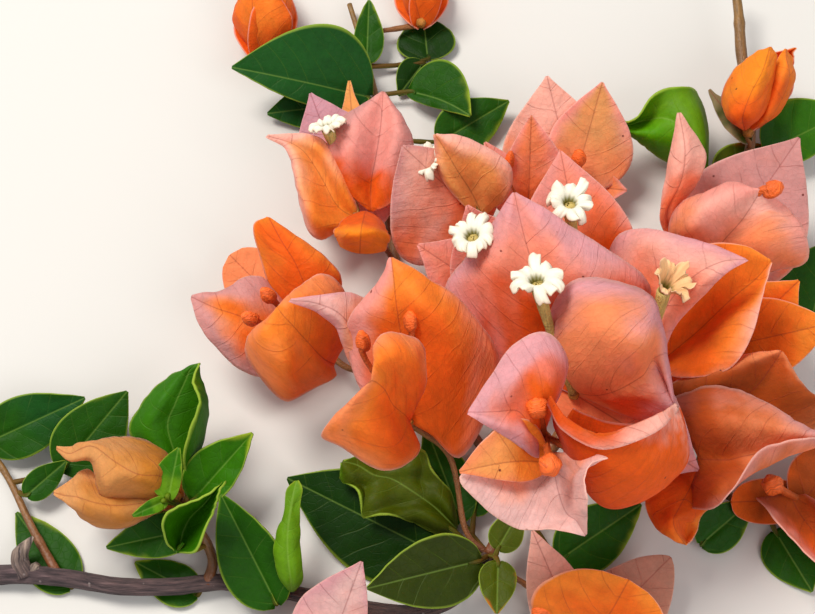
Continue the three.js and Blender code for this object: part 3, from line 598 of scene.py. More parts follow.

# %% [markdown]
# The bract's own pattern comes next: its three tones, mottled; veins and midrib in a darker
# red; a few dark specks; and a painted highlight along the margin, a thin paler line where the
# thinnest edge catches light. The translucent shader gets the same colour, warmed a little,
# for light that has come through.
# The bump adds the veins, a grain, and long fine creases that run with the side veins.

# %% Bract tissue
BRACT_VEIN_GAP = 5.2     # millimetres between side veins
BRACT_VEIN_WIDTH = 0.2   # half the width of a side vein, in millimetres
SPECKS = 0.14            # per millimetre: about one dark speck in 7 mm
CREASES = (0.45, 0.2, 1.0)  # per millimetre: 2 mm apart between veins, 5 mm long beside them
BRACT_VEINS, BRACT_NET, BRACT_MIDRIB = 0.26, 0.07, 0.42  # how strongly each is coloured
# RIM_HIGHLIGHT is the pale pink of a painted highlight along each bract's rim.
VEIN_RED, MIDRIB_RED, SPECK_BROWN, RIM_HIGHLIGHT = "#B03C34", "#9C2C2C", "#7A3028", "#FBD6C8"
BRACT_GLOW = 0.5         # the part of the light that comes through


def bract_tissue():
    material, tree = new_material("bract_tissue")
    reach = add(tree, "ShaderNodeAttribute", attribute_name="reach").outputs["Vector"]
    span = add(tree, "ShaderNodeAttribute", attribute_name="span").outputs["Vector"]
    tint = add(tree, "ShaderNodeAttribute", attribute_name="tint").outputs["Color"]
    side, midrib, net = vein_nodes(tree, reach, span, BRACT_VEIN_GAP, BRACT_VEIN_WIDTH)
    mottle = mottle_nodes(tree, reach, 0.9, 1.1)
    base = add(tree, "ShaderNodeVectorMath", {0: tint, "Scale": mottle},
               operation="SCALE").outputs[0]
    strength = add(tree, "ShaderNodeMath", {0: side, 1: BRACT_VEINS},
                   operation="MULTIPLY").outputs[0]
    strength = add(tree, "ShaderNodeMath", {0: net, 1: BRACT_NET, 2: strength},
                   operation="MULTIPLY_ADD").outputs[0]
    veined = add(tree, "ShaderNodeMix", {0: strength, 6: base, 7: rgba(VEIN_RED)},
                 data_type="RGBA").outputs[2]
    rib = add(tree, "ShaderNodeMath", {0: midrib, 1: BRACT_MIDRIB},
              operation="MULTIPLY").outputs[0]
    ribbed = add(tree, "ShaderNodeMix", {0: rib, 6: veined, 7: rgba(MIDRIB_RED)},
                 data_type="RGBA").outputs[2]
    specks = add(tree, "ShaderNodeTexVoronoi", {"Vector": reach, "Scale": SPECKS},
                 feature="F1").outputs["Distance"]
    specks = add(tree, "ShaderNodeMapRange", {"Value": specks, "From Min": 0.045,
                                              "From Max": 0.02}).outputs[0]
    specked = add(tree, "ShaderNodeMix", {0: specks, 6: ribbed, 7: rgba(SPECK_BROWN)},
                  data_type="RGBA").outputs[2]
    # Painted highlight: the outermost part of each half is mixed up to 60% with a pale pink, where the thin
    # rim catches light.
    half = add(tree, "ShaderNodeSeparateXYZ", {0: span}).outputs["X"]
    half = add(tree, "ShaderNodeMath", {0: half}, operation="ABSOLUTE").outputs[0]
    edge = add(tree, "ShaderNodeMapRange", {"Value": half, "From Min": 0.955, "From Max": 1.0,
                                            "To Max": 0.6}).outputs[0]
    edged = add(tree, "ShaderNodeMix", {0: edge, 6: specked, 7: rgba(RIM_HIGHLIGHT)},
                data_type="RGBA").outputs[2]
    phase = add(tree, "ShaderNodeSeparateXYZ", {0: span}).outputs["Z"]
    across = add(tree, "ShaderNodeSeparateXYZ", {0: reach}).outputs["X"]
    drawn = add(tree, "ShaderNodeCombineXYZ", {"X": phase, "Y": across}).outputs[0]
    drawn = add(tree, "ShaderNodeVectorMath", {0: drawn, 1: CREASES},
                operation="MULTIPLY").outputs[0]
    creases = add(tree, "ShaderNodeTexNoise", {"Vector": drawn, "Scale": 1.0, "Detail": 4.0,
                                               "Distortion": 1.2}).outputs["Fac"]
    relief = add(tree, "ShaderNodeMath", {0: net, 1: 0.25, 2: side},
                 operation="MULTIPLY_ADD").outputs[0]
    relief = add(tree, "ShaderNodeMath", {0: mottle, 1: 3.0, 2: relief},
                 operation="MULTIPLY_ADD").outputs[0]
    relief = add(tree, "ShaderNodeMath", {0: creases, 1: 2.0, 2: relief},
                 operation="MULTIPLY_ADD").outputs[0]
    bump = add(tree, "ShaderNodeBump", {"Height": relief, "Strength": 0.6, "Distance": 0.0002})
    skin = add(tree, "ShaderNodeBsdfPrincipled", {"Base Color": edged, "Roughness": 0.6,
                                                  "IOR": 1.45, "Specular IOR Level": 0.2,
                                                  "Normal": bump.outputs[0]})
    skin.inputs["Sheen Weight"].default_value = 0.06
    skin.inputs["Sheen Roughness"].default_value = 0.5
    glow = add(tree, "ShaderNodeMix", {0: 0.6, 6: edged, 7: rgba("#FFD6A0")}, data_type="RGBA",
               blend_type="MULTIPLY").outputs[2]
    through = add(tree, "ShaderNodeBsdfTranslucent", {"Color": glow, "Normal": bump.outputs[0]})
    both = add(tree, "ShaderNodeMixShader",
               {0: BRACT_GLOW, 1: skin.outputs[0], 2: through.outputs[0]})
    add(tree, "ShaderNodeOutputMaterial", {"Surface": both.outputs[0]})
    return material


BRACT_TISSUE = bract_tissue()
print("nodes in the bract tissue:", len(BRACT_TISSUE.node_tree.nodes))

# %% [markdown]
# Leaf tissue is thicker, under a thin film of wax, so it is a little smoother than a bract, and
# little light comes through. Wax and cell walls have a refractive index near 1.48. The veins are
# paler than the blade, the margin is a thin line of yellow-green, and the mesh already quilts up
# between the side veins, so the bump only sharpens them.

# %% Leaf tissue
LEAF_VEIN_GAP = 4.8     # millimetres
LEAF_VEIN_WIDTH = 0.24  # millimetres
LEAF_VEINS, LEAF_MIDRIB = 0.09, 0.3  # how strongly each is coloured
VEIN_GREEN, MARGIN_GREEN = "#86A648", "#98B03C"
LEAF_GLOW = 0.18        # the part of the light that comes through


def leaf_tissue():
    material, tree = new_material("leaf_tissue")
    reach = add(tree, "ShaderNodeAttribute", attribute_name="reach").outputs["Vector"]
    span = add(tree, "ShaderNodeAttribute", attribute_name="span").outputs["Vector"]
    tint = add(tree, "ShaderNodeAttribute", attribute_name="tint").outputs["Color"]
    side, midrib, net = vein_nodes(tree, reach, span, LEAF_VEIN_GAP, LEAF_VEIN_WIDTH)
    mottle = mottle_nodes(tree, reach, 0.84, 1.14)
    base = add(tree, "ShaderNodeVectorMath", {0: tint, "Scale": mottle},
               operation="SCALE").outputs[0]
    strength = add(tree, "ShaderNodeMath", {0: side, 1: LEAF_VEINS},
                   operation="MULTIPLY").outputs[0]
    strength = add(tree, "ShaderNodeMath", {0: midrib, 1: LEAF_MIDRIB, 2: strength},
                   operation="MULTIPLY_ADD").outputs[0]
    veined = add(tree, "ShaderNodeMix", {0: strength, 6: base, 7: rgba(VEIN_GREEN)},
                 data_type="RGBA").outputs[2]
    half = add(tree, "ShaderNodeSeparateXYZ", {0: span}).outputs["X"]
    half = add(tree, "ShaderNodeMath", {0: half}, operation="ABSOLUTE").outputs[0]
    edge = add(tree, "ShaderNodeMapRange", {"Value": half, "From Min": 0.93, "From Max": 1.0,
                                            "To Max": 0.8}).outputs[0]
    edged = add(tree, "ShaderNodeMix", {0: edge, 6: veined, 7: rgba(MARGIN_GREEN)},
                data_type="RGBA").outputs[2]
    relief = add(tree, "ShaderNodeMath", {0: side, 1: -1.0, 2: mottle},
                 operation="MULTIPLY_ADD").outputs[0]
    relief = add(tree, "ShaderNodeMath", {0: net, 1: -0.3, 2: relief},
                 operation="MULTIPLY_ADD").outputs[0]
    bump = add(tree, "ShaderNodeBump", {"Height": relief, "Strength": 0.4, "Distance": 0.00025})
    skin = add(tree, "ShaderNodeBsdfPrincipled", {"Base Color": edged, "Roughness": 0.5,
                                                  "IOR": 1.48, "Specular IOR Level": 0.12,
                                                  "Normal": bump.outputs[0]})
    through = add(tree, "ShaderNodeBsdfTranslucent", {"Color": edged, "Normal": bump.outputs[0]})
    both = add(tree, "ShaderNodeMixShader",
               {0: LEAF_GLOW, 1: skin.outputs[0], 2: through.outputs[0]})
    add(tree, "ShaderNodeOutputMaterial", {"Surface": both.outputs[0]})
    return material


LEAF_TISSUE = leaf_tissue()
print("nodes in the leaf tissue:", len(LEAF_TISSUE.node_tree.nodes))

# %% [markdown]
# The small flowers are petals of soft, watery cells: matt, creamy and a little lit through.
# Their refractive index is that of wet tissue, near 1.4, and their grain is one of cells in
# rows, drawn coarser than life, at 0.6 mm, so that it shows.

# %% Petals
PETAL_GRAIN = 1.6  # per millimetre
PETAL_GLOW = 0.25  # the part of the light that comes through


def petal_tissue():
    material, tree = new_material("petal_tissue")
    tint = add(tree, "ShaderNodeAttribute", attribute_name="tint").outputs["Color"]
    reach = add(tree, "ShaderNodeAttribute", attribute_name="reach").outputs["Vector"]
    grain = add(tree, "ShaderNodeTexNoise", {"Vector": reach, "Scale": PETAL_GRAIN,
                                             "Detail": 3.0}).outputs["Fac"]
    bump = add(tree, "ShaderNodeBump", {"Height": grain, "Strength": 0.35, "Distance": 0.0002})
    shade = add(tree, "ShaderNodeMapRange", {"Value": grain, "To Min": 0.88,
                                             "To Max": 1.04}).outputs[0]
    base = add(tree, "ShaderNodeVectorMath", {0: tint, "Scale": shade},
               operation="SCALE").outputs[0]
    skin = add(tree, "ShaderNodeBsdfPrincipled", {"Base Color": base, "Roughness": 0.6, "IOR": 1.4,
                                                  "Normal": bump.outputs[0]})
    through = add(tree, "ShaderNodeBsdfTranslucent", {"Color": base})
    both = add(tree, "ShaderNodeMixShader",
               {0: PETAL_GLOW, 1: skin.outputs[0], 2: through.outputs[0]})
    add(tree, "ShaderNodeOutputMaterial", {"Surface": both.outputs[0]})
    return material


PETAL_TISSUE = petal_tissue()
print("nodes in the petal tissue:", len(PETAL_TISSUE.node_tree.nodes))

# %% [markdown]
# The tubes, the buds and the flower stalks are covered in short hairs and tiny warts, so they
# are rough, with a fine grain. A young stem is the same skin, smoother and with a coarser
# grain. Both have streaks that run along them, six times as long as they are wide.

# %% Skins of tubes and young stems
STREAKS = (2.2, 0.35, 1.0)  # per millimetre: across, along


def young_skin(name, roughness, grain_mm, strength):
    material, tree = new_material(name)
    tint = add(tree, "ShaderNodeAttribute", attribute_name="tint").outputs["Color"]
    reach = add(tree, "ShaderNodeAttribute", attribute_name="reach").outputs["Vector"]
    warts = add(tree, "ShaderNodeTexVoronoi", {"Vector": reach, "Scale": 1 / grain_mm},
                feature="F1")
    streaks = add(tree, "ShaderNodeVectorMath", {0: reach, 1: STREAKS},
                  operation="MULTIPLY")
    streaks = add(tree, "ShaderNodeTexNoise", {"Vector": streaks.outputs[0], "Scale": 1.0,
                                               "Detail": 4.0}).outputs["Fac"]
    shade = add(tree, "ShaderNodeMapRange", {"Value": streaks, "From Min": 0.3, "From Max": 0.7,
                                             "To Min": 0.65, "To Max": 1.25}).outputs[0]
    base = add(tree, "ShaderNodeVectorMath", {0: tint, "Scale": shade},
               operation="SCALE").outputs[0]
    height = add(tree, "ShaderNodeMath", {0: warts.outputs["Distance"], 1: -1.0, 2: streaks},
                 operation="MULTIPLY_ADD").outputs[0]
    bump = add(tree, "ShaderNodeBump", {"Height": height, "Strength": strength,
                                        "Distance": 0.0003})
    skin = add(tree, "ShaderNodeBsdfPrincipled", {"Base Color": base, "Roughness": roughness,
                                                  "IOR": 1.46, "Normal": bump.outputs[0]})
    add(tree, "ShaderNodeOutputMaterial", {"Surface": skin.outputs[0]})
    return material


HAIRY_TUBE = young_skin("hairy_tube", roughness=0.62, grain_mm=0.35, strength=0.6)
YOUNG_STEM = young_skin("young_stem", roughness=0.5, grain_mm=0.6, strength=0.4)
print("skins:", HAIRY_TUBE.name, YOUNG_STEM.name)

# %% [markdown]
# Old bark on a twig this thin is a dull grey-brown skin split along its length, with pale
# corky dots. Cork is dry and very rough, with a refractive index near 1.5. Stretching the noise
# nine times along the stem makes the splits, and small cells of a second pattern the dots.

# %% Bark
SPLITS = (1.5, 0.16, 1.0)  # per millimetre: 0.7 mm apart, 6 mm long
CORK_DOTS = 0.45           # per millimetre: about one in 2 mm
SPLIT_DARK, CORK_PALE = "#2A1F22", "#7E706C"


def fissured_bark():
    material, tree = new_material("fissured_bark")
    tint = add(tree, "ShaderNodeAttribute", attribute_name="tint").outputs["Color"]
    reach = add(tree, "ShaderNodeAttribute", attribute_name="reach").outputs["Vector"]
    drawn = add(tree, "ShaderNodeVectorMath", {0: reach, 1: SPLITS}, operation="MULTIPLY")
    splits = add(tree, "ShaderNodeTexNoise", {"Vector": drawn.outputs[0], "Scale": 1.0,
                                              "Detail": 6.0, "Roughness": 0.65}).outputs["Fac"]
    splits = add(tree, "ShaderNodeMapRange", {"Value": splits, "From Min": 0.36,
                                              "From Max": 0.62}).outputs[0]
    dots = add(tree, "ShaderNodeTexVoronoi", {"Vector": reach, "Scale": CORK_DOTS}, feature="F1")
    dots = add(tree, "ShaderNodeMapRange", {"Value": dots.outputs["Distance"], "From Min": 0.14,
                                            "From Max": 0.07}).outputs[0]
    dark = add(tree, "ShaderNodeMix", {0: splits, 6: rgba(SPLIT_DARK), 7: tint},
               data_type="RGBA").outputs[2]
    dotted = add(tree, "ShaderNodeMix", {0: dots, 6: dark, 7: rgba(CORK_PALE)},
                 data_type="RGBA").outputs[2]
    height = add(tree, "ShaderNodeMath", {0: dots, 1: 0.4, 2: splits},
                 operation="MULTIPLY_ADD").outputs[0]
    bump = add(tree, "ShaderNodeBump", {"Height": height, "Strength": 0.8, "Distance": 0.0004})
    skin = add(tree, "ShaderNodeBsdfPrincipled", {"Base Color": dotted, "Roughness": 0.8, "IOR": 1.5,
                                                  "Normal": bump.outputs[0]})
    add(tree, "ShaderNodeOutputMaterial", {"Surface": skin.outputs[0]})
    return material


FISSURED_BARK = fissured_bark()
print("nodes in the bark:", len(FISSURED_BARK.node_tree.nodes))

# %% [markdown]
# The stems carry everything, so they are grown first. The woody stem has ridges and knobs of
# bark, and a knot of three broken stubs that are paler at their tips. The young stems are
# slimmer, smoother and redder, and swell a little at each joint. Paths and radii are
# millimetres on the branch, before `SEAT` moves it to the frame's origin.

# %% Stems
STEMS = {
    "stem_woody": dict(
        path=[(-84, -48, 2.5), (-73, -48, 3), (-63.5, -49, 3), (-55, -50.5, 3.5), (-45, -50.5, 3.5),
              (-35, -49.5, 3), (-22.5, -51.5, 3), (-11, -54, 3), (0.5, -55.5, 3.5), (9, -53, 5),
              (15.5, -45.5, 8)],
        radii=[2, 1.8, 1.7, 1.6, 1.5, 1.3],
        stubs=[dict(path=[(-73.5, -48.5, 3), (-74.5, -46, 4), (-74.5, -44.5, 5), (-73, -42.5, 6),
                          (-72, -41.5, 6.5)], radii=[2.1, 1.9, 1.8, 0.8, 0.3]),
               dict(path=[(-73, -48, 3), (-71, -46.5, 4)], radii=[1.9, 1]),
               dict(path=[(-74.5, -44.5, 4.5), (-76, -44, 5)], radii=[1.4, 0.5])]),
    "stem_flowering": dict(
        path=[(15.5, -45.5, 8), (21.5, -35, 10), (27.5, -25.5, 10), (33.5, -14.5, 9), (39.5, -0.5, 7),
              (48, 11.5, 5), (57.5, 19, 5)],
        radii=[1.3, 1.2, 1.2, 1.1, 1.1, 1]),
    "stem_left": dict(
        path=[(21.5, -35, 10), (12.5, -20, 7), (3.5, -2, 4.5), (-2, 16.5, 4), (-4.5, 33, 3.5),
              (-6, 53, 3), (-9, 68, 3), (-13, 82.5, 3.5)],
        radii=[1.1, 1, 1, 0.9, 0.8, 0.7, 0.6]),
    "stem_top_right": dict(
        path=[(57.5, 19, 5), (65.5, 28.5, 5), (73, 44, 6), (73, 57.5, 8), (72.5, 67, 9),
              (72.5, 75.5, 10), (72, 84, 11)],
        radii=[1, 1.1, 1.1, 1.1, 1.3, 1.1, 1]),
    "stem_right": dict(
        path=[(33.5, -14.5, 9), (46, -21.5, 6), (57.5, -29, 4), (69, -35.5, 3), (74.5, -37, 3)],
        radii=[1.1, 1, 0.9, 0.8]),
    "stem_bud_shoot": dict(
        path=[(-38.5, -50, 3.5), (-37.5, -45.5, 5), (-40, -40.5, 8), (-43, -36.5, 10)],
        radii=[1.2, 1, 0.9, 0.8]),
    "stem_left_twig": dict(
        path=[(-67, -48.5, 3), (-73, -39, 3), (-78.5, -29, 3), (-83.5, -22, 4)],
        radii=[1, 0.8, 0.7, 0.6]),
    "stem_middle": dict(
        path=[(39.5, -0.5, 7), (35.5, 11.5, 4.5), (32, 25, 3.5), (33.5, 34.5, 3)],
        radii=[1, 0.9, 0.8, 0.7]),
}
WOODY_TONES = ("#5E4A4C", "#5A4238")
YOUNG_TONES = ("#6A3A1E", "#7A5A2A")
STUB_TONES = ("#6A5450", "#B09A88")
JOINT_GAP = 17.0
JOINT_WIDTH = 1.1


def bark_ridges(size, angle, travelled):
    ring = np.c_[np.cos(angle) * 1.6, np.sin(angle) * 1.6, np.full(len(angle), travelled * 0.09)]
    knobs = np.c_[np.cos(angle), np.sin(angle), np.full(len(angle), travelled * 0.4)]
    return size * (0.96 + 0.09 * noise_at(ring * 2.2) + 0.07 * noise_at(knobs * 0.9 + 5))


def joint_swellings(size, angle, travelled):
    swelling = 0.16 * math.exp(-((travelled % JOINT_GAP - JOINT_GAP / 2) / JOINT_WIDTH) ** 2)
    return size * (0.97 + swelling + 0.03 * np.cos(5 * angle))


for name, stem in STEMS.items():
    woody = name == "stem_woody"
    length = sum(math.dist(p, q) for p, q in zip(stem["path"], stem["path"][1:]))
    tones = WOODY_TONES if woody else YOUNG_TONES
    sides, steps = (28, int(length * 2.2)) if woody else (14, int(length * 1.1))
    parts = [swept(stem["path"], stem["radii"], sides, steps,
                   bark_ridges if woody else joint_swellings, tones, len(name) * 3.1)]
    for stub in stem.get("stubs", []):
        parts.append(swept(stub["path"], stub["radii"], 18, 24, bark_ridges, STUB_TONES, 4.0))
    grow_piece(name, parts, FISSURED_BARK if woody else YOUNG_STEM,
               name)
print("stems:", len(STEMS))

# %% [markdown]
# A bloom is described by its heart, where the bracts meet, by the stalk that leads there, by
# its bracts and by any flowers. Distances are millimetres before the branch is seated, and
# `wide` is a part of the bract's length, one for both halves or one for each. A bract that no
# width describes has a `net`. `tones` are those of the heart, the middle and the margin. An
# open flower has a `face`, the direction it looks in, and a closed bud may have an `aim`.

# %% The blooms
BLOOMS = {}
kinds = [part["node"].split("_")[0] for part in frame["record"]["subparts"]]
print("blooms to describe:", kinds.count("bloom"), "and closed heads:", kinds.count("head"))

# %% [markdown]
# The front bloom stands highest and is the most folded: a lilac flap, a pale bract that
# hangs down with its margin turned up, a deep belly with a rolled lip, and a small yellow
# flap, round three closed buds. Three of them need a net, because no single bend gives a
# margin that rolls back over itself.

# %% The front bloom
BLOOMS["bloom_front"] = dict(
    heart=(25, -29, 29), stalk=[(23.5, -32, 10), (25, -31, 20)],
    bracts=[
        dict(tip=(10.5, -31, 46), tones=("orange", "rose", "lilac"), fades=(0.1, 0.6), net=[
            [(24.5, -30, 30)],
            [(23, -35.5, 36), (22.5, -33.5, 39), (22, -31, 39), (25.5, -25.5, 43), (28.5, -20, 40)],
            [(20, -35, 40), (20, -33, 43), (19.5, -29, 42), (21.5, -23, 46), (24.5, -15.5, 45.5)],
            [(15.5, -33.5, 44), (15.5, -32.5, 45.5), (15.5, -30, 44.5), (16.5, -26, 46), (18.5, -18, 46)],
            [(12.5, -32, 45.5), (12.5, -31.5, 46), (12.5, -30.5, 45.5), (13.5, -28, 46), (14.5, -24, 46)],
            [(10.5, -30.5, 45.5)],
        ]),
        dict(tip=(32, -47.5, 30), tones=("apricot", "blush", "blush"), warmth=(-0.05, 0.35), net=[
            [(26, -32.5, 30)],
            [(34, -39, 46.5), (30.5, -39, 42), (26.5, -37, 31), (19, -39, 35), (9.5, -40, 41)],
            [(31.5, -40.5, 47), (29.5, -41.5, 43), (27, -41.5, 33), (19.5, -44, 37), (12.5, -45, 39)],
            [(30, -43.5, 46.5), (29.5, -44.5, 41), (28, -45.5, 35), (24, -47, 35), (19, -48.5, 36)],
            [(30.5, -46.5, 45.5), (30, -47.5, 41), (29.5, -47.5, 37), (27.5, -48.5, 36), (26, -49, 36)],
            [(31, -50, 37)],
        ]),
        # Painted shade in part: the right half, the belly's outer wall, keeps the ember and orange tones and
        # never turns pale, darker than its own orange because that wall faces down, away from the light.
        dict(tip=(47, -30, 46), tones=("ember", "orange", "pale"), fading=(1, 0), fades=(0.5, 0.85), net=[
            [(24.5, -28.5, 44), (25, -27.5, 45.5), (26, -28.5, 37), (27, -28.5, 31), (28.5, -27, 28),
             (29.5, -24.5, 26), (31, -22, 25)],
            [(27, -34, 45.5), (28, -32, 46), (29, -36, 40), (31, -37.5, 29), (32.5, -31.5, 26), (34, -27, 24),
             (35.5, -23.5, 23)],
            [(33.5, -37.5, 46), (33.5, -34.5, 46.5), (34, -40, 41), (36, -42.5, 28), (38, -35, 24),
             (40, -29, 23), (41.5, -24.5, 23)],
            [(42, -35, 46.5), (42, -32, 46.5), (42.5, -39, 41), (43.5, -41, 29), (45.5, -34.5, 26),
             (47, -28.5, 25), (47.5, -24.5, 25)],
            [(46.5, -31, 46), (46, -29.5, 46.5), (48, -34, 43), (49.5, -36.5, 37), (50, -32.5, 33),
             (50, -28, 31), (49.5, -24.5, 30)],
            [(47, -29.5, 46)],
        ]),
        dict(base=(24, -36, 35), tip=(9, -40.5, 43), wide=(0.18, 0.4), bulge=0.1, lean=0.05,
             tones=("amber", "honey", "apricot")),
    ],
    flowers=[dict(at=(22.5, -28, 44)), dict(at=(24.5, -41, 46)), dict(at=(32.5, -35.5, 36))])
print("blooms so far:", len(BLOOMS))

# %% [markdown]
# Behind it one bract opens wide like a kite and the next bulges like a dome. In the bloom
# at their left one stands up like a cupped hand, one lies behind as a pale flap, and the near
# one is folded into two lobes. A row or column of net points runs along each fold, so that
# the crease lies where the real one does.

# %% The blooms in the middle
BLOOMS["bloom_center"] = dict(
    heart=(31.5, -18, 22), stalk=[(33.5, -14.5, 9)],
    bracts=[
        dict(tip=(20.5, 15.5, 41), tones=("ember", "salmon", "lilac"), warmth=(0.28, 0.72), net=[
            [(31.5, -18, 22)],
            [(15, -9.5, 22), (22.5, -11, 23), (28, -9.5, 26), (35, -9, 25), (42, -8, 22)],
            [(7.5, 2.5, 24), (16, -1, 32), (25, -1.5, 33), (35, -2, 35), (46, 1, 30)],
            [(13.5, 9, 32), (17.5, 6.5, 38), (22, 7, 37.5), (27.5, 5.5, 39), (34, 8, 36)],
            [(20, 15, 41)],
        ]),
        dict(tip=(47.5, -16.5, 30), tones=("apricot", "apricot", "lilac"), fades=(0.22, 0.72), net=[
            [(31.5, -18, 23)],
            [(26.5, -7, 29), (29, -16, 33), (34.5, -20.5, 27), (35.5, -20, 24), (36.5, -20, 21)],
            [(31, -2, 39), (34, -14.5, 45), (38.5, -21.5, 33), (41.5, -22.5, 29), (44.5, -24, 24)],
            [(42.5, -4, 40), (41.5, -16, 45.5), (42.5, -20, 36), (45.5, -22.5, 33), (48.5, -24.5, 30)],
            [(46.5, -10.5, 38), (45.5, -15.5, 40), (45, -17.5, 37), (47, -19, 33), (49.5, -22, 30)],
            [(49, -24, 31)],
        ]),
        dict(tip=(54.5, -32.5, 20), wide=0.42, tones=("coral", "rose", "lilac")),
    ],
    flowers=[dict(at=(23.5, -3, 42), face=(-0.1, 0.72, 0.7), size=0.84)])
BLOOMS["bloom_left"] = dict(
    heart=(0, -23, 20), stalk=[(15, -45, 8), (11, -41, 10), (8, -28, 15)],
    bracts=[
        dict(tip=(-2.5, 3, 38), tones=("orange", "amber", "rose"), fades=(0.06, 0.6), fading=(1, 0.35), net=[
            [(-0.5, -23.5, 20), (-0.5, -23, 20), (0.5, -23, 20), (2, -24, 20), (4.5, -25, 19)],
            [(-8.5, -17.5, 22), (-5, -18.5, 24), (-0.5, -19, 25), (6, -21.5, 23), (10.5, -28.5, 17)],
            [(-11, -9, 25), (-6.5, -10.5, 30), (-1, -11.5, 30), (8, -13.5, 32), (17.5, -13.5, 24)],
            [(-11, -6, 31), (-6.5, -6.5, 35), (-2, -6, 36), (4, -7.5, 38), (11.5, -5, 32)],
            [(-5.5, -0.5, 36), (-4, -1.5, 37.5), (-2.5, -1.5, 38), (0, -1.5, 38.5), (3.5, -0.5, 36)],
            [(-3, 2.5, 39)],
        ]),
        dict(tip=(-22, -3.5, 33), tones=("apricot", "blush", "lilac"), net=[
            [(-2, -20.5, 19)],
            [(-10.5, -12.5, 22), (-9, -12.5, 24), (-7.5, -11, 24), (-5.5, -8, 24), (-3, -4, 23)],
            [(-13.5, -7, 27), (-12.5, -6.5, 29), (-12, -5.5, 29.5), (-10.5, -3, 29), (-9.5, -0.5, 28)],
            [(-17.5, -4.5, 30), (-17.5, -4, 31), (-17, -3.5, 31.5), (-16, -2.5, 31.5), (-15, -1.5, 31)],
            [(-22, -3.5, 33)],
        ]),
        dict(tip=(-7.5, -23.5, 45), tones=("orange", "amber", "apricot"), net=[
            [(0.5, -24, 23)],
            [(2, -30, 23), (1, -28, 25), (-0.5, -24.5, 28), (1.5, -24, 34), (3, -21, 36)],
            [(-4, -34, 25), (-3, -31, 31), (-2.5, -24.5, 33), (1, -21, 43), (2.5, -15, 40)],
            [(-12, -31.5, 30), (-9, -29.5, 36), (-4, -23.5, 38), (-2, -20, 46), (-2, -14.5, 43)],
            [(-15.5, -30, 34), (-11, -28, 39), (-5.5, -23.5, 42), (-5.5, -21, 45.5), (-5.5, -17, 44)],
            [(-6.5, -23.5, 43)],
        ]),
    ],
    flowers=[
        dict(at=(0.5, -7.5, 37), aim=(-0.05, 0.93, 0.4), size=0.68),
        dict(at=(-8.5, -11.5, 37), aim=(-0.15, 0.92, 0.4), size=0.68),
    ])
print("blooms so far:", len(BLOOMS))

# %% [markdown]
# On the right a pink bract leans over an orange one. Lower down they lie open like shells,
# rust brown with a pale margin that curls towards the viewer, and at the back a narrow folded
# one stands beside a flat one. The rust and dark brown of that low bloom are painted shade, for
# the shade it lies in under the bracts above. Here the colours differ most from bract to bract:
# `warmth` says where the heart's tone ends, `fades` how near the margin and the tip the third
# tone begins, and `fading` how strong it is on the left and the right half.

# %% The blooms on the right
BLOOMS["bloom_right"] = dict(
    heart=(47.5, -11, 14), stalk=[(40, -1, 7), (44, -6, 9)],
    bracts=[
        dict(tip=(64, 5.5, 33), tones=("coral", "pale", "lilac"), net=[
            [(48, -11, 15)],
            [(40, -1.5, 17), (43.5, -4.5, 19), (47.5, -7.5, 21), (48.5, -8, 21), (49.5, -8.5, 20)],
            [(38.5, 8, 20), (43.5, 3.5, 25), (49.5, -2, 27), (51, -3.5, 27), (52, -4.5, 26)],
            [(42, 14, 26), (46.5, 8, 31), (54, 1.5, 33), (55, -0.5, 33), (57, -1, 32)],
            [(51.5, 10, 33), (54.5, 7, 35), (59, 3.5, 35), (59.5, 2.5, 35), (60, 1.5, 34.5)],
            [(63.5, 3.5, 36)],
        ]),
        dict(tip=(71, 9, 24), tones=("orange", "amber", "pale"), fading=(0, 0.75), net=[
            [(48.5, -9.5, 14)],
            [(48, -5.5, 18), (49.5, -6, 17), (51.5, -7, 15), (52, -11, 19), (53, -14, 20)],
            [(52, 3, 23), (54.5, 0, 20), (57, -2.5, 16), (58, -10.5, 24), (61, -14, 25)],
            [(56.5, 9.5, 29), (59.5, 6.5, 26), (63, 2, 21), (64, -4.5, 27), (65.5, -7.5, 27)],
            [(64, 9, 31), (65.5, 7, 30), (67, 4, 26), (67.5, 2, 28), (68, 1.5, 29)],
            [(69.5, 6, 30)],
        ]),
        dict(tip=(56, -17.5, 6), wide=0.3, tones=("ember", "orange", "coral")),
    ],
    flowers=[dict(at=(48.5, -1.5, 35), face=(0.32, 0.55, 0.77), cream="#F6C890", cup=3.2, size=0.68)])
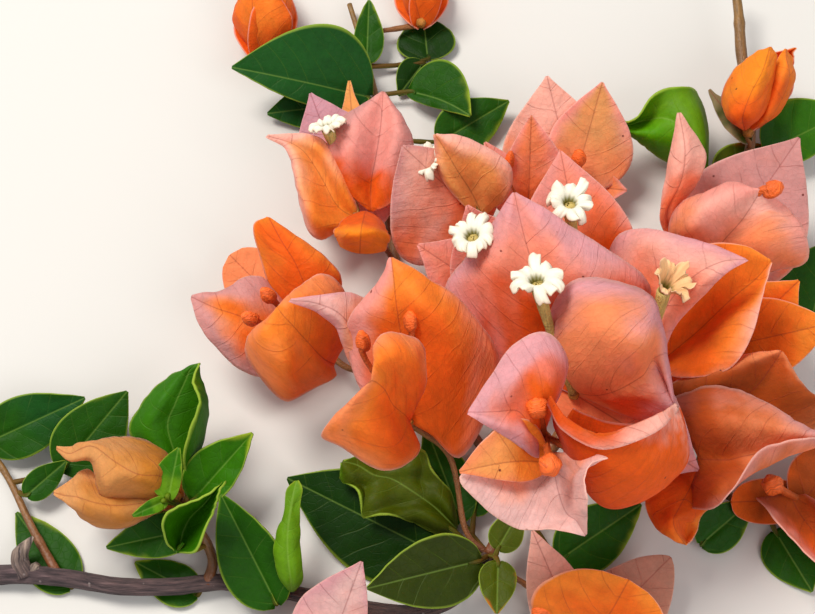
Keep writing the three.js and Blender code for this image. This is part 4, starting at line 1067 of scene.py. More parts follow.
BLOOMS["bloom_low_right"] = dict(
    heart=(56.5, -28.5, 14), stalk=[(57.5, -29, 4), (57, -29, 9)],
    bracts=[
        # Painted shade: the rust heart of this bract and the dark brown heart and rust middle of the next are
        # darker than the bracts' own colour, for the shade this low bloom lies in.
        dict(tip=(78, -30.5, 28), tones=("rust", "apricot", "mauve"), warmth=(0.1, 0.9), net=[
            [(49.5, -17.5, 17), (52, -23.5, 18.5), (55, -29.5, 17.5), (53.5, -34.5, 17.5), (52.5, -39, 17)],
            [(55.5, -16.5, 21), (56.5, -25, 26), (60, -30.5, 20), (57, -37, 25), (56, -41, 23)],
            [(60.5, -17.5, 23), (60.5, -25.5, 28), (62.5, -30.5, 22), (62, -35.5, 25), (59.5, -38.5, 27)],
            [(64.5, -19.5, 25), (64, -26.5, 29), (65.5, -30.5, 24), (65, -34.5, 27), (63.5, -33, 31)],
            [(70, -25, 29), (69.5, -28.5, 31), (69.5, -30.5, 28), (69, -33, 29.5), (67.5, -32, 34)],
            [(74, -28.5, 30), (73.5, -29.5, 31), (73.5, -30.5, 30), (73.5, -32, 31), (72.5, -31, 34)],
            [(78, -30, 30)],
        ]),
        dict(tip=(72, -9, 22), tones=("shade_umber", "rust", "apricot"), net=[
            [(57.5, -26, 13)],
            [(49.5, -16, 15), (54, -19, 18), (62.5, -19, 15), (68.5, -23, 16), (75.5, -24.5, 14)],
            [(56, -13, 21), (60, -15, 24), (67, -15.5, 20), (72.5, -18.5, 23), (79, -20.5, 20)],
            [(64, -11, 24), (66, -12.5, 26), (69.5, -12.5, 23), (72.5, -15, 24.5), (75.5, -17, 22)],
            [(71, -10.5, 25)],
        ]),
        dict(tip=(51, -45.5, 18), tones=("ember", "orange", "amber"), net=[
            [(56, -30, 14)],
            [(59, -35, 12), (56.5, -35, 15), (53, -35.5, 18), (49, -34.5, 18), (46, -33, 16)],
            [(55.5, -39.5, 14), (53, -40.5, 18), (50, -40.5, 20), (47, -40, 19), (44.5, -38, 17)],
            [(54.5, -42.5, 14), (52.5, -41.5, 15), (49, -42.5, 21), (47, -43, 19), (46, -42.5, 17)],
            [(53, -45, 15), (52, -44, 14), (49.5, -44.5, 20), (48.5, -45, 19), (48.5, -44.5, 17)],
            [(51.5, -46, 17)],
        ]),
    ])
BLOOMS["bloom_back_right"] = dict(
    heart=(61, 14, 8), stalk=[(58, 18.5, 5)],
    bracts=[
        dict(tip=(53.5, 37.5, 32), tones=("coral", "pale", "pale"), net=[
            [(57.5, 15.5, 10)],
            [(51, 19.5, 18), (51.5, 20, 19), (52, 20.5, 19.5), (53.5, 21, 20), (55.5, 23, 19)],
            [(51, 24.5, 24), (52.5, 24.5, 26), (54, 25, 27), (55.5, 26, 27), (58, 26.5, 25)],
            [(52, 30.5, 28), (53, 30, 30), (54.5, 30, 31), (56.5, 31, 30), (59, 31, 28)],
            [(53.5, 37, 33)],
        ]),
        dict(tip=(79, 36.5, 24), wide=(0.4, 0.42), bulge=0.03, tones=("coral", "mauve", "mauve")),
        dict(tip=(69, 21.5, 30), tones=("apricot", "pale", "rose"), net=[
            [(57.5, 15, 11), (59.5, 14.5, 11), (62, 14, 11), (66.5, 13, 11), (71.5, 12, 11)],
            [(52.5, 19, 18), (55.5, 15, 24), (62.5, 15, 19), (69, 12, 23), (79, 12, 17)],
            [(55, 22.5, 23), (58, 18, 29), (65.5, 17, 25), (71, 16.5, 27), (78.5, 15, 23)],
            [(62.5, 23.5, 28), (64.5, 21, 30.5), (67.5, 19.5, 28), (71, 19, 27), (75.5, 19.5, 25)],
            [(69, 21.5, 30)],
        ]),
    ],
    flowers=[dict(at=(73, 22, 31), aim=(0.85, 0.4, 0.4), size=0.85)])
print("blooms so far:", len(BLOOMS))

# %% [markdown]
# Of the blooms behind the middle and at the right edge mostly one flat bract shows, so the
# short rule with a tip and a width is enough for nearly all. Three carry an open flower.

# %% Plain blooms behind
BLOOMS["bloom_high"] = dict(
    heart=(36, 6, 12.5), stalk=[(36, 11, 4.5)],
    bracts=[
        dict(tip=(30, 29.5, 31), wide=(0.42, 0.36), bulge=0.05, tones=("orange", "salmon", "rose")),
        dict(tip=(50.5, 13, 16), wide=0.3, tones=("coral", "rose", "mauve")),
        dict(tip=(26.5, -1, 8), wide=0.3, tones=("coral", "rose", "mauve")),
    ],
    flowers=[dict(at=(31, 16, 36), face=(0.1, 0.5, 0.85), size=0.78)])
BLOOMS["bloom_mid_left"] = dict(
    heart=(19.5, 4, 14.5), stalk=[(2, 2.5, 4.5), (10.5, 4, 7)], tones=("orange", "salmon", "rose"),
    bracts=[
        dict(tip=(2, 11, 27), wide=(0.35, 0.4), bulge=0.05),
        dict(tip=(11.5, 17, 32), wide=(0.36, 0.4), bulge=0.03),
        dict(tip=(22.5, -1, 8), wide=0.3),
    ],
    flowers=[dict(at=(12, 9, 36), face=(-0.2, 0.55, 0.8), size=0.76)])
BLOOMS["bloom_upper_left"] = dict(
    heart=(15, 25, 11), stalk=[(-3.5, 24, 4), (4.5, 23, 6)],
    bracts=[
        dict(tip=(5.5, 35.5, 27), tones=("honey", "honey", "pale"), net=[
            [(15.5, 25, 12)],
            [(11, 26, 16), (11.5, 26.5, 17), (13, 28, 16.5), (16.5, 27, 19), (20.5, 27, 18)],
            [(6, 31, 20), (7.5, 29.5, 22), (10, 30.5, 21.5), (15, 30.5, 24), (20.5, 31.5, 22)],
            [(5.5, 33.5, 23.5), (6.5, 33, 25), (7.5, 33, 25.5), (9.5, 33, 27), (12.5, 35, 26)],
            [(5.5, 35, 28)],
        ]),
        dict(tip=(-1, 34, 25), wide=(0.72, 0.3), outline=(0.5, 1), tones=("coral", "pale", "mauve")),
        dict(tip=(19, 18, 6), wide=0.3, tones=("orange", "amber", "apricot")),
    ],
    flowers=[dict(at=(4, 33, 21), face=(-0.6, 0.4, 0.7), size=0.6)])
BLOOMS["bloom_far_right"] = dict(
    heart=(65, -1.5, 6), stalk=[(49, 10.5, 5), (58, 5, 4.5)],
    bracts=[
        dict(tip=(77.5, 7.5, 18), wide=0.4, tones=("ember", "orange", "amber")),
        dict(tip=(83.5, -1.5, 18), wide=(0.36, 0.34), bulge=0.05, tones=("orange", "amber", "amber")),
        dict(tip=(72.5, -9, 6), wide=0.3, tones=("ember", "orange", "orange")),
    ])
print("blooms so far:", len(BLOOMS))

# %% [markdown]
# The two on the left are seen into from above, like cups. A cup is three or four sheets
# that lean apart, so each gets its own net or tip. The flower of the further one leans out
# of its cup, and `bend` is the point that its tube passes through.

# %% The blooms on the left
BLOOMS["bloom_back_left"] = dict(
    heart=(-10, 24, 10), stalk=[(-2, 17, 4), (-5.5, 21.5, 6.5)],
    bracts=[
        dict(tip=(-28.5, 38.5, 22), tones=("amber", "honey", "pale"), fades=(0.15, 0.75), net=[
            [(-10, 24.5, 11)],
            [(-18, 20, 12), (-16.5, 21, 16), (-14.5, 27, 13), (-13, 29, 16), (-12, 31.5, 15)],
            [(-22, 25.5, 16), (-21, 26.5, 20), (-18.5, 33, 17), (-17, 35, 20), (-15.5, 37.5, 18)],
            [(-24, 35, 20), (-23.5, 35.5, 21), (-22.5, 36.5, 20.5), (-21.5, 37.5, 21), (-20.5, 39, 20.5)],
            [(-28.5, 37.5, 23)],
        ]),
        dict(tip=(-5, 49.5, 20), tones=("orange", "rose", "mauve"), warmth=(0.15, 0.5), net=[
            [(-7.5, 26, 12)],
            [(-13, 29.5, 15), (-10.5, 29.5, 16), (-7.5, 31.5, 14), (-5, 30, 16), (-2.5, 27.5, 14)],
            [(-16, 36, 18), (-11.5, 34, 21), (-6.5, 36, 17), (-3, 35, 20), (-0.5, 33.5, 17)],
            [(-14.5, 42, 20), (-10.5, 40.5, 22.5), (-5.5, 41.5, 20), (-2, 40.5, 22), (1, 39.5, 19)],
            [(-5, 48.5, 22)],
        ]),
        dict(tip=(-20.5, 53, 14), wide=(0.3, 0.4), tones=("rose", "violet", "violet")),
        dict(tip=(-14.5, 14.5, 24), tones=("orange", "gold", "gold"), net=[
            [(-12.5, 23, 15), (-10.5, 24, 15), (-8.5, 25, 14), (-6.5, 23.5, 15), (-5, 22, 15)],
            [(-15, 18, 19), (-12, 15, 25), (-9, 14, 27), (-6, 15, 25), (-3.5, 16.5, 19)],
            [(-13.5, 15.5, 17), (-11.5, 14, 18), (-9.5, 13.5, 18), (-7, 13.5, 18), (-4.5, 15, 16)],
        ]),
        dict(tip=(-12.5, 58.5, 10), wide=0.11, tones=("apricot", "honey", "honey")),
    ],
    flowers=[dict(at=(-16.5, 40.5, 23), face=(-0.25, 0.9, 0.4), bend=(-13, 35, 12), size=0.66)])
BLOOMS["bloom_far_left"] = dict(
    heart=(-17, -3, 8), stalk=[(5, -3.5, 4.5), (-3.5, -7, 5), (-11.5, -6.5, 6)],
    bracts=[
        dict(tip=(-42.5, 4, 18), tones=("orange", "amber", "mauve"), fades=(0.08, 0.6), net=[
            [(-18, -3, 10)],
            [(-26.5, -9.5, 10), (-25, -7, 13), (-24.5, -2.5, 14), (-25, 2.5, 15), (-26.5, 7.5, 14)],
            [(-33.5, -9, 13), (-32.5, -6, 17), (-32, -0.5, 18), (-31.5, 3.5, 19), (-31.5, 9, 17)],
            [(-39.5, -3.5, 16), (-38.5, -1.5, 18), (-38, 1.5, 18.5), (-37.5, 3.5, 19), (-37, 5.5, 18)],
            [(-42.5, 3.5, 19)],
        ]),
        dict(tip=(-29, 19, 22), tones=("orange", "orange", "amber"), net=[
            [(-18, -1.5, 10)],
            [(-25.5, 4.5, 12), (-22, 4, 15), (-19.5, 4.5, 16), (-16, 5, 16), (-13.5, 7, 13)],
            [(-29, 12, 17), (-25, 10.5, 20), (-22, 10, 20), (-18, 10, 20), (-14.5, 11, 17)],
            [(-30.5, 17, 23), (-27.5, 15, 22), (-25, 14.5, 22), (-23, 15, 22), (-21, 15.5, 20)],
            [(-27.5, 19, 23)],
        ]),
        dict(tip=(-25, -4, 30), tones=("orange", "amber", "apricot"), net=[
            [(-14.5, -7.5, 11)],
            [(-15, -11, 12), (-15.5, -10.5, 15), (-16.5, -9, 18), (-14, -5.5, 17), (-11.5, -2, 15)],
            [(-21, -15.5, 15), (-20, -13.5, 22), (-19.5, -8, 25), (-15.5, -2, 26), (-12, 3.5, 21)],
            [(-24.5, -17, 18), (-23, -13.5, 28), (-21.5, -7, 29), (-19, -2, 30), (-16.5, 5.5, 25)],
            [(-31, -9, 23), (-27, -9.5, 31), (-23.5, -5.5, 31), (-22.5, -3.5, 31.5), (-21, 1, 29)],
            [(-24.5, -4, 31)],
        ]),
        dict(tip=(-36.5, 17.5, 9), wide=0.27, outline=(0.5, 0.5),
             tones=("orange", "apricot", "apricot")),
    ],
    flowers=[dict(at=(-31.5, -3.5, 26), size=0.7), dict(at=(-28, 2, 26), size=0.7)])
print("blooms so far:", len(BLOOMS))

# %% [markdown]
# Round the edge stand narrow young blooms and old dull ones, half hidden. Plain bracts do
# for all but one, and the colours tell their age: orange when young, pink as the pigment
# fades, clay when old. The dark brown at the hearts of the low bloom at the far right is
# painted shade.

# %% Small blooms round the edge
BLOOMS["bloom_slim"] = dict(
    heart=(25, 27, 8), stalk=[(31.5, 26.5, 3.5), (28, 27, 5)], tones=("orange", "apricot", "rose"),
    bracts=[
        dict(tip=(25, 40.5, 26), wide=(0.24, 0.34)),
        dict(tip=(16, 40, 16), wide=0.25),
        dict(tip=(31.5, 39.5, 14), wide=0.25),
    ],
    flowers=[dict(at=(21, 35, 21), aim=(0.1, 0.8, 0.6), size=0.5)])
BLOOMS["bloom_top"] = dict(
    heart=(35, 35, 7), stalk=[(33.5, 34, 3)],
    bracts=[
        dict(tip=(29, 53.5, 20), wide=(0.56, 0.3), tones=("apricot", "pale", "pale")),
        dict(tip=(40.5, 52, 20), wide=(0.34, 0.46), tones=("apricot", "peach", "rose")),
        dict(tip=(46, 33, 8), wide=0.35, tones=("orange", "apricot", "rose")),
    ],
    flowers=[dict(at=(35.5, 37.5, 17), size=0.75)])
BLOOMS["bloom_low_far_right"] = dict(
    heart=(77, -33.5, 4), stalk=[(74.5, -37, 3)],
    bracts=[
        # Painted shade: the dark brown hearts of this bloom stand for the shade it lies in.
        dict(tip=(62.5, -35, 8), wide=0.27, outline=(0.5, 0.5), tones=("shade_umber", "orange", "orange")),
        dict(tip=(82, -52, 10), tones=("rust", "orange", "rose"), net=[
            [(77, -33.5, 8), (75.5, -33.5, 8), (74, -33.5, 8), (71, -34, 9), (66.5, -35.5, 12)],
            [(80.5, -38, 12), (78.5, -37.5, 9), (76, -38, 8), (73, -39.5, 10), (69, -41, 16)],
            [(83, -43.5, 14), (82, -43, 10), (79.5, -44, 9), (76, -45, 11), (72.5, -45.5, 17)],
            [(84, -48, 14), (83.5, -48, 11), (82, -48.5, 10), (79.5, -49.5, 12), (76.5, -50, 16)],
            [(83, -53, 12)],
        ]),
        dict(tip=(87.5, -23.5, 12), wide=(0.4, 0.3), tones=("shade_umber", "rust", "orange")),
    ],
    flowers=[dict(at=(68, -33.5, 16))])
BLOOMS["bloom_bottom"] = dict(
    heart=(33, -62.5, 5), stalk=[(16, -46, 8), (19.5, -49, 7), (24.5, -52.5, 6)],
    bracts=[
        dict(tip=(23.5, -42.5, 14), wide=(0.26, 0.2), tones=("clay", "pale", "pale")),
        dict(tip=(40, -54, 22), wide=(0.7, 0.6), bulge=0.12, outline=(0.5, 0.5),
             tones=("amber", "orange", "amber")),
        dict(tip=(49.5, -47, 12), wide=(0.3, 0.35), outline=(0.5, 0.8), tones=("rust", "clay", "clay")),
    ],
    flowers=[dict(at=(23.5, -56.5, 14))])
BLOOMS["bloom_bottom_left"] = dict(
    heart=(-15.5, -64.5, 3), stalk=[(-11, -54, 3), (-13, -59, 3)], tones=("rose", "blush", "lilac"),
    bracts=[
        dict(tip=(-8.5, -49, 16), wide=(0.4, 0.22)),
        dict(tip=(-23.5, -59.5, 10), wide=0.35),
        dict(tip=(-6.5, -64.5, 8), wide=0.3),
    ])
print("blooms so far:", len(BLOOMS))

# %% [markdown]
# A closed head is a bloom before its bracts open. They wrap it like the staves of a
# barrel. With the short rule a stave is a bract that faces away from the viewer and has
# a negative bulge, strongly curved across. The two large heads have nets.

# %% Closed heads
BLOOMS["head_top_right"] = dict(
    heart=(71.5, 44.5, 12), stalk=[(73, 44, 6), (72.5, 44.5, 8.5)],
    bracts=[
        dict(tip=(74.5, 56, 27), tones=("orange", "gold", "gold"), net=[
            [(70.5, 44, 14)],
            [(66, 47, 16), (67, 43, 20), (68.5, 42.5, 22), (71.5, 43, 21), (75, 47.5, 17)],
            [(65.5, 50.5, 17), (67, 47, 22), (70, 46.5, 24.5), (73.5, 48.5, 22), (77, 53, 18)],
            [(68, 55, 19), (70, 52, 23), (72.5, 51, 25.5), (75, 53, 23), (77, 56.5, 20)],
            [(72, 57, 22), (73, 56, 24), (74, 55, 25), (75, 56, 24), (76.5, 57.5, 22)],
            [(75, 58, 24)],
        ]),
        dict(tip=(81, 59.5, 21), tones=("orange", "amber", "gold"), net=[
            [(72, 44.5, 13)],
            [(72, 46, 16), (73.5, 44, 18), (76, 46, 17), (78, 48.5, 14), (78.5, 51, 10)],
            [(75, 51, 18), (76.5, 49.5, 20), (79, 51.5, 18), (81, 54.5, 14), (81.5, 57.5, 9)],
            [(76.5, 55, 19), (78, 54, 21), (79.5, 54.5, 20), (81.5, 56.5, 16), (81.5, 59, 12)],
            [(77.5, 58, 20), (78.5, 57.5, 21), (79, 57.5, 21), (80, 58.5, 19), (81, 59.5, 17)],
            [(79, 59.5, 21)],
        ]),
        dict(tip=(80, 62, 17), tones=("ember", "orange", "amber"), net=[
            [(72, 45, 11)],
            [(68, 49.5, 12), (70.5, 50, 8), (74, 50, 6), (77.5, 50.5, 7), (79.5, 51.5, 10)],
            [(67, 53.5, 12), (71.5, 56, 7), (76, 57.5, 5), (80, 56.5, 7), (82, 56, 11)],
            [(70, 57.5, 14), (73.5, 59.5, 10), (78, 61.5, 8), (81, 60.5, 10), (82, 58, 14)],
            [(74.5, 60, 17), (77, 61, 15), (79.5, 62, 14), (81, 61.5, 15), (81.5, 59.5, 17)],
            [(81.5, 61, 19)],
        ]),
        dict(base=(71, 43.5, 12), tip=(64, 54.5, 13), wide=0.14, tones=("olive", "scale", "scale")),
    ])
BLOOMS["head_left"] = dict(
    heart=(-44.5, -34.5, 10), stalk=[(-42.5, -36, 10)], tones=("tan", "peach", "peach"),
    bracts=[
        dict(tip=(-66.5, -27, 16), net=[
            [(-45, -34, 12)],
            [(-48.5, -37.5, 15), (-46.5, -37, 19), (-45.5, -34.5, 22), (-45.5, -31.5, 20),
             (-45.5, -27.5, 14)],
            [(-54, -37.5, 17), (-51.5, -36.5, 22), (-49.5, -35, 25), (-49, -31, 23), (-49.5, -25.5, 16)],
            [(-57.5, -37, 19), (-55.5, -36, 24), (-54, -32.5, 25), (-54, -29.5, 23), (-55, -25, 17)],
            [(-59.5, -31, 20), (-59, -30.5, 22), (-59, -28.5, 22), (-59.5, -27.5, 21), (-60.5, -26, 18)],
            [(-63.5, -30, 18), (-63.5, -30, 19), (-63.5, -29, 19), (-63.5, -28, 18.5), (-63.5, -27.5, 18)],
            [(-66.5, -27.5, 18)],
        ]),
        dict(tip=(-66, -37, 18), net=[
            [(-45, -35.5, 11)],
            [(-47.5, -37.5, 10), (-46.5, -38, 15), (-47, -37.5, 17), (-48, -35.5, 15), (-49, -33.5, 12)],
            [(-52, -40.5, 11), (-52, -41, 17), (-53, -39, 19), (-54, -36.5, 17), (-55.5, -33.5, 12)],
            [(-57, -41.5, 12), (-56.5, -41, 18), (-57.5, -39, 20), (-58, -36, 18), (-58.5, -32.5, 14)],
            [(-61.5, -40, 14), (-61, -40, 18), (-61.5, -37.5, 19), (-61.5, -34, 17), (-61.5, -30.5, 14)],
            [(-64, -38, 16), (-64.5, -37.5, 17), (-64.5, -36.5, 17), (-64.5, -35.5, 17), (-64, -33.5, 16)],
            [(-66.5, -36, 17)],
        ]),
        dict(tip=(-62, -23.5, 10), face=(0, 0, 1), wide=0.3, bulge=-0.1, curve=30),
    ])
BLOOMS["head_top_left"] = dict(
    heart=(-31.5, 67, 6), stalk=[(-11, 73.5, 3), (-20.5, 71.5, 4)], tones=("orange", "amber", "orange"),
    bracts=[
        dict(tip=(-31.5, 84, 18), face=(0.5, 0, -1), wide=0.4, bulge=-0.2, curve=50),
        dict(tip=(-29, 86.5, 14), face=(-0.8, 0, -0.5), wide=0.35, bulge=-0.2, curve=45),
        dict(tip=(-31, 90.5, 9), face=(0, 0, 1), wide=0.3, bulge=-0.1, curve=30),
    ])
BLOOMS["head_top"] = dict(
    heart=(3, 76.5, 5), stalk=[(-11, 75, 3), (-3.5, 75.5, 4)], tones=("orange", "amber", "orange"),
    bracts=[
        dict(tip=(2.5, 91, 16), face=(0.5, 0, -1), wide=0.32, bulge=-0.18, curve=50),
        dict(tip=(4, 93, 12), face=(-0.8, 0, -0.5), wide=0.3, bulge=-0.18, curve=45),
        dict(tip=(3.5, 97, 7), face=(0, 0, 1), wide=0.3, bulge=-0.1, curve=30),
    ])
print("blooms:", len(BLOOMS), "bracts:", sum(len(bloom["bracts"]) for bloom in BLOOMS.values()))

# %% [markdown]
# Bracts leave the heart one above another, the steepest on top, each a millimetre above the
# next. What all of them share is said once: the outline's swell and taper, the thickness, the
# relief and how far the tones reach. A bract only says where it differs.

# %% Bracts
BRACT = dict(outline=(0.7, 1.2), ends=(0.6, 0.3), lobe=0.12, thickness=0.22, rows=34,
             half_columns=13, crinkle=0.5, groove=0.35, quilt=0.16, vein_gap=BRACT_VEIN_GAP,
             wave=0.012, waves=2.4, fades=(0.3, 0.95), warmth=(0.15, 0.75))


def bract_blades(bloom, seed):
    heart = np.array(bloom["heart"], float)
    lift = facing((0, 0, 1))
    steepness = [unit(np.array(bract["tip"]) - heart)[2] for bract in bloom["bracts"]]
    order = sorted(range(len(steepness)), key=lambda k: -steepness[k])
    blades = []
    for k, bract in enumerate(bloom["bracts"]):
        foot = heart + lift * (1 - order.index(k))
        base = foot + 0.4 * unit(np.array(bract["tip"]) - foot)
        blades.append({**BRACT, "tones": bloom.get("tones"), "base": base,
                       "seed": seed + 1.7 * k, "phase": seed + k, **bract})
    return blades


print("bract sheets:", BRACT["thickness"], "mm thick,", BRACT["rows"], "rows of faces")

# %% [markdown]
# An open flower is a thin tube that flares into five lobes, each folded along its middle,
# notched at its end and ruffled. It is one sheet in polar form: the radius swings with the
# angle, so the notches need no cutting. Each half lobe gets its own length and curl, because a
# real one never has two alike. The throat is olive and sinks into the tube.

# %% Open flowers
STAR_RADIUS = 6.0
STAR_RINGS = 20
STAR_SIDES = 160
THROAT = 0.9
LOBE_GAP, LOBE_NOTCH = 0.4, 0.2  # how deep the cuts between and in the lobes go, of the radius
HALF_THICKNESS = 0.14
CREAM, THROAT_OLIVE, DRY_TIP = "#F6F2E0", "#7C7418", "#F0D2B4"
FIFTH = 2 * np.pi / 5


def flower_axes(flower):
    axis = facing(flower["face"])
    across = unit(RIGHT - axis[0] * axis)
    return np.array(flower["at"], float), axis, across, np.cross(axis, across)


def star(flower, seed):
    at, axis, across, other = flower_axes(flower)
    angle = np.arange(STAR_SIDES) * 2 * np.pi / STAR_SIDES
    lobe = np.round(angle / FIFTH) % 5
    turn = np.degrees(angle - np.round(angle / FIFTH) * FIFTH)
    half = 2 * lobe + (turn > 0)
    own = np.clip(np.abs(turn) / 7, 0, 1) * np.clip((36 - np.abs(turn)) / 7, 0, 1)
    gap = LOBE_GAP + 0.14 * np.sin(2.9 * np.floor(angle / FIFTH) + seed)
    notch = LOBE_NOTCH + 0.08 * np.sin(4.3 * lobe + seed)
    scallop = np.abs(np.sin(np.radians(5 * turn)))
    outline = 1 - np.where(np.abs(turn) < 18, notch, gap) * (1 - scallop) ** 3
    outline = outline + own * (0.08 * np.sin(2.3 * half + 1.7 * seed) + 0.11 * np.sin(1.9 * lobe))
    outline = outline * flower.get("size", 1.0)
    curl = own * (-0.4 + 1.1 * np.sin(3.1 * half + 1.3 * seed))
    fold = np.cos(np.radians(10 * turn))
    frill = np.sin(17 * angle + seed) + 0.6 * np.sin(31 * angle + 2 * seed)
    sway = 0.16 * own * np.sin(2.1 * half + 2.3 * seed) + 0.1 * np.sin(2.7 * lobe + seed)
    cream = np.array(linear(flower.get("cream", CREAM)))
    throat, dry = np.array(linear(THROAT_OLIVE)), np.array(linear(DRY_TIP))
    rings, reach, span, tint = [], [], [], []
    for k in range(STAR_RINGS + 1):
        part = k / STAR_RINGS
        radius = THROAT + (outline * STAR_RADIUS - THROAT) * part ** 0.9
        height = -2.0 * np.exp(-(radius - THROAT) / 0.7) + 0.9 * part - 1.1 * part ** 4
        height = height - 0.35 * fold * part ** 1.1 + curl * part ** 3 + 0.2 * frill * part ** 3
        height = height + flower.get("cup", 0.0) * part ** 1.2
        turned = angle + sway * part ** 2
        rings.append(at + (radius * np.cos(turned))[:, None] * across
                     + (radius * np.sin(turned))[:, None] * other + height[:, None] * axis)
        reach.append(np.stack([radius * np.cos(angle), radius * np.sin(angle),
                               np.full(STAR_SIDES, seed)], axis=-1))
        span.append(np.stack([angle, np.full(STAR_SIDES, part), np.zeros(STAR_SIDES)], axis=-1))
        mix = smooth(radius + 0.1 * fold, 0.95, 1.75)[:, None]
        colour = throat * (1 - mix) + cream * mix
        # Painted shade: towards the rim the cream darkens by up to 12% in the valleys of the lobe folds,
        # where the creases lie in shade.
        colour = colour * (1 - 0.12 * part * np.clip(fold, 0, 1))[:, None]
        tint.append(colour * (1 - 0.5 * part ** 12) + dry * 0.5 * part ** 12)
    points = np.concatenate(rings)
    count = len(points)
    points = np.concatenate([points + HALF_THICKNESS * axis, points - HALF_THICKNESS * axis])
    grid = np.arange(count).reshape(STAR_RINGS + 1, STAR_SIDES)
    a, b, c, d = ring_corners(grid)
    faces = [np.stack([a, d, c, b], axis=1), np.stack([a, b, c, d], axis=1) + count]
    for ring, order in ((grid[-1], 1), (grid[0], -1)):
        after = np.roll(ring, -1)
        faces.append(np.stack([ring, ring + count, after + count, after][::order], axis=1))
    return {"points": points, "faces": np.concatenate(faces),
            "reach": np.tile(np.concatenate(reach), (2, 1)),
            "span": np.tile(np.concatenate(span), (2, 1)),
            "tint": np.tile(np.concatenate(tint), (2, 1))}


print("an open flower of full size is", 2 * STAR_RADIUS, "mm across")

# %% [markdown]
# Deep in the throat sit a few anthers: thin olive rods with a small swollen end. Only a dot of
# each shows, but without them the throat reads as a hole.

# %% Anthers
ANTHERS = 3
ANTHER_RADII = (0.1, 0.1, 0.2, 0.1)
ANTHER_TONES = ("#8A8A30", "#6A5412")


def anthers(flower, seed):
    at, axis, across, other = flower_axes(flower)
    parts = []
    for k in range(ANTHERS):
        turn = seed + k * 1.7
        out = math.cos(turn) * across + math.sin(turn) * other
        low = at - 2.6 * axis + 0.2 * out
        high = at - (1.3 + 0.15 * k) * axis + 0.35 * out
        parts.append(swept([low, high], ANTHER_RADII, 8, 8, None, ANTHER_TONES, seed))
    return parts


print("anthers in a flower:", ANTHERS)

# %% [markdown]
# A bud is the same tube still closed: five ribs and a swollen orange head. Both stand on the
# heart, a short thick knot at the end of the thin stalk, where bracts and tubes meet.

# %% Tubes, buds and stalks
TUBE_RADII = (0.85, 0.95, 0.85, 1.35)
BUD_RADII = (0.65, 0.68, 0.7, 0.75, 0.9, 1.35, 1.9, 2.05, 1.75, 0.7)
STALK_RADII = (0.6, 0.55, 0.8)
HEART_RADII = (0.8, 1.1, 1.2, 0.8)
HEART_RISE = 1.7  # millimetres from the heart's middle to where the tubes begin
TUBE_TONES = ("#8A5A1E", "#C0A860")
BUD_TONES = ("#9A4410", "#E8621A")
STALK_TONES = ("#6A3A1E", "#8A5A28")
HEART_TONES = ("#8A5A28", "#A86A20")


def ribs(size, angle, travelled):
    return size * (1 + 0.07 * np.cos(5 * angle) + 0.02 * math.sin(travelled * 2.1))


def tube_parts(heart_top, flower, seed):
    at = np.array(flower["at"], float)
    if "face" in flower:
        axis = facing(flower["face"])
        path = [heart_top, flower.get("bend", (heart_top + at - 6 * axis) / 2), at - 1.6 * axis]
        return [swept(path, TUBE_RADII, 20, 30, ribs, TUBE_TONES, seed)]
    axis = facing(flower["aim"]) if "aim" in flower else unit(at - heart_top)
    path = [heart_top, at - 6 * axis, at - 3 * axis, at]
    radii = [flower.get("size", 1.0) * radius for radius in BUD_RADII]
    return [swept(path, radii, 24, 36, ribs, BUD_TONES, seed)]


def stalk_parts(bloom, seed):
    heart = np.array(bloom["heart"], float)
    lift = facing((0, 0, 1))
    low, high = heart - 2 * lift, heart + 2 * lift
    return [swept([*bloom["stalk"], low], STALK_RADII, 12, 24, joint_swellings, STALK_TONES, seed),
            swept([low, heart, high], HEART_RADII, 14, 12, ribs, HEART_TONES, seed)]


print("a full-size bud is", 2 * max(BUD_RADII), "mm thick")

# %% [markdown]
# Now each bloom grows, as two or three pieces: its bracts, its stalk with the tubes and buds,
# and its open flowers where it has any. All of them stand for the one solid of that bloom.

# %% Growing the blooms
for index, (name, bloom) in enumerate(BLOOMS.items()):
    seed = 3.3 * index + 1  # so that no two blooms are creased alike
    bracts = [closed_sheet(blade) for blade in bract_blades(bloom, seed)]
    grow_piece(name + "_bracts", bracts, BRACT_TISSUE, name)
    heart_top = np.array(bloom["heart"], float) + HEART_RISE * facing((0, 0, 1))
    flowers = bloom.get("flowers", [])
    tubes = [part for k, flower in enumerate(flowers)
             for part in tube_parts(heart_top, flower, seed + k)]
    grow_piece(name + "_tubes", stalk_parts(bloom, seed) + tubes, HAIRY_TUBE, name)
    stars = []
    for k, flower in enumerate(flowers):
        if "face" in flower:
            stars += [star(flower, seed + k), *anthers(flower, seed + k)]
    if stars:
        grow_piece(name + "_star", stars, PETAL_TISSUE, name)
print("bloom pieces:", sum(name.startswith(("bloom", "head")) for name in pieces))

# %% [markdown]
# Leaves use the same blade rule, thicker and flatter than a bract, and each is one piece with
# its petiole, whose first ring sits against the stem. Where two leaves leave the same joint,
# the second one's petiole branches from the end of the first one's stalk. Most leaves have the
# same three tones, and only the others name theirs.

# %% Leaves
LEAF = dict(outline=(0.6, 1.05), ends=(0.7, 0.3), lobe=0.03, thickness=0.4, rows=36,
            half_columns=12, crinkle=0.3, groove=0.45, quilt=0.22, vein_gap=LEAF_VEIN_GAP,
            wave=0.01, waves=1.6, fades=(0.7, 1.2), warmth=(0.1, 0.7),
            tones=("leaf_green", "leaf_green", "lime"))
LEAVES = {}
print("leaf blades:", LEAF["thickness"], "mm thick")

# %% [markdown]
# The youngest leaves stand round the head on the woody stem, bright and still folded at
# the midrib. Two are so rolled that they need a net, and some others get a `fold`, the angle
# in degrees by which each half rises. Further along the stem they are darker and flat.

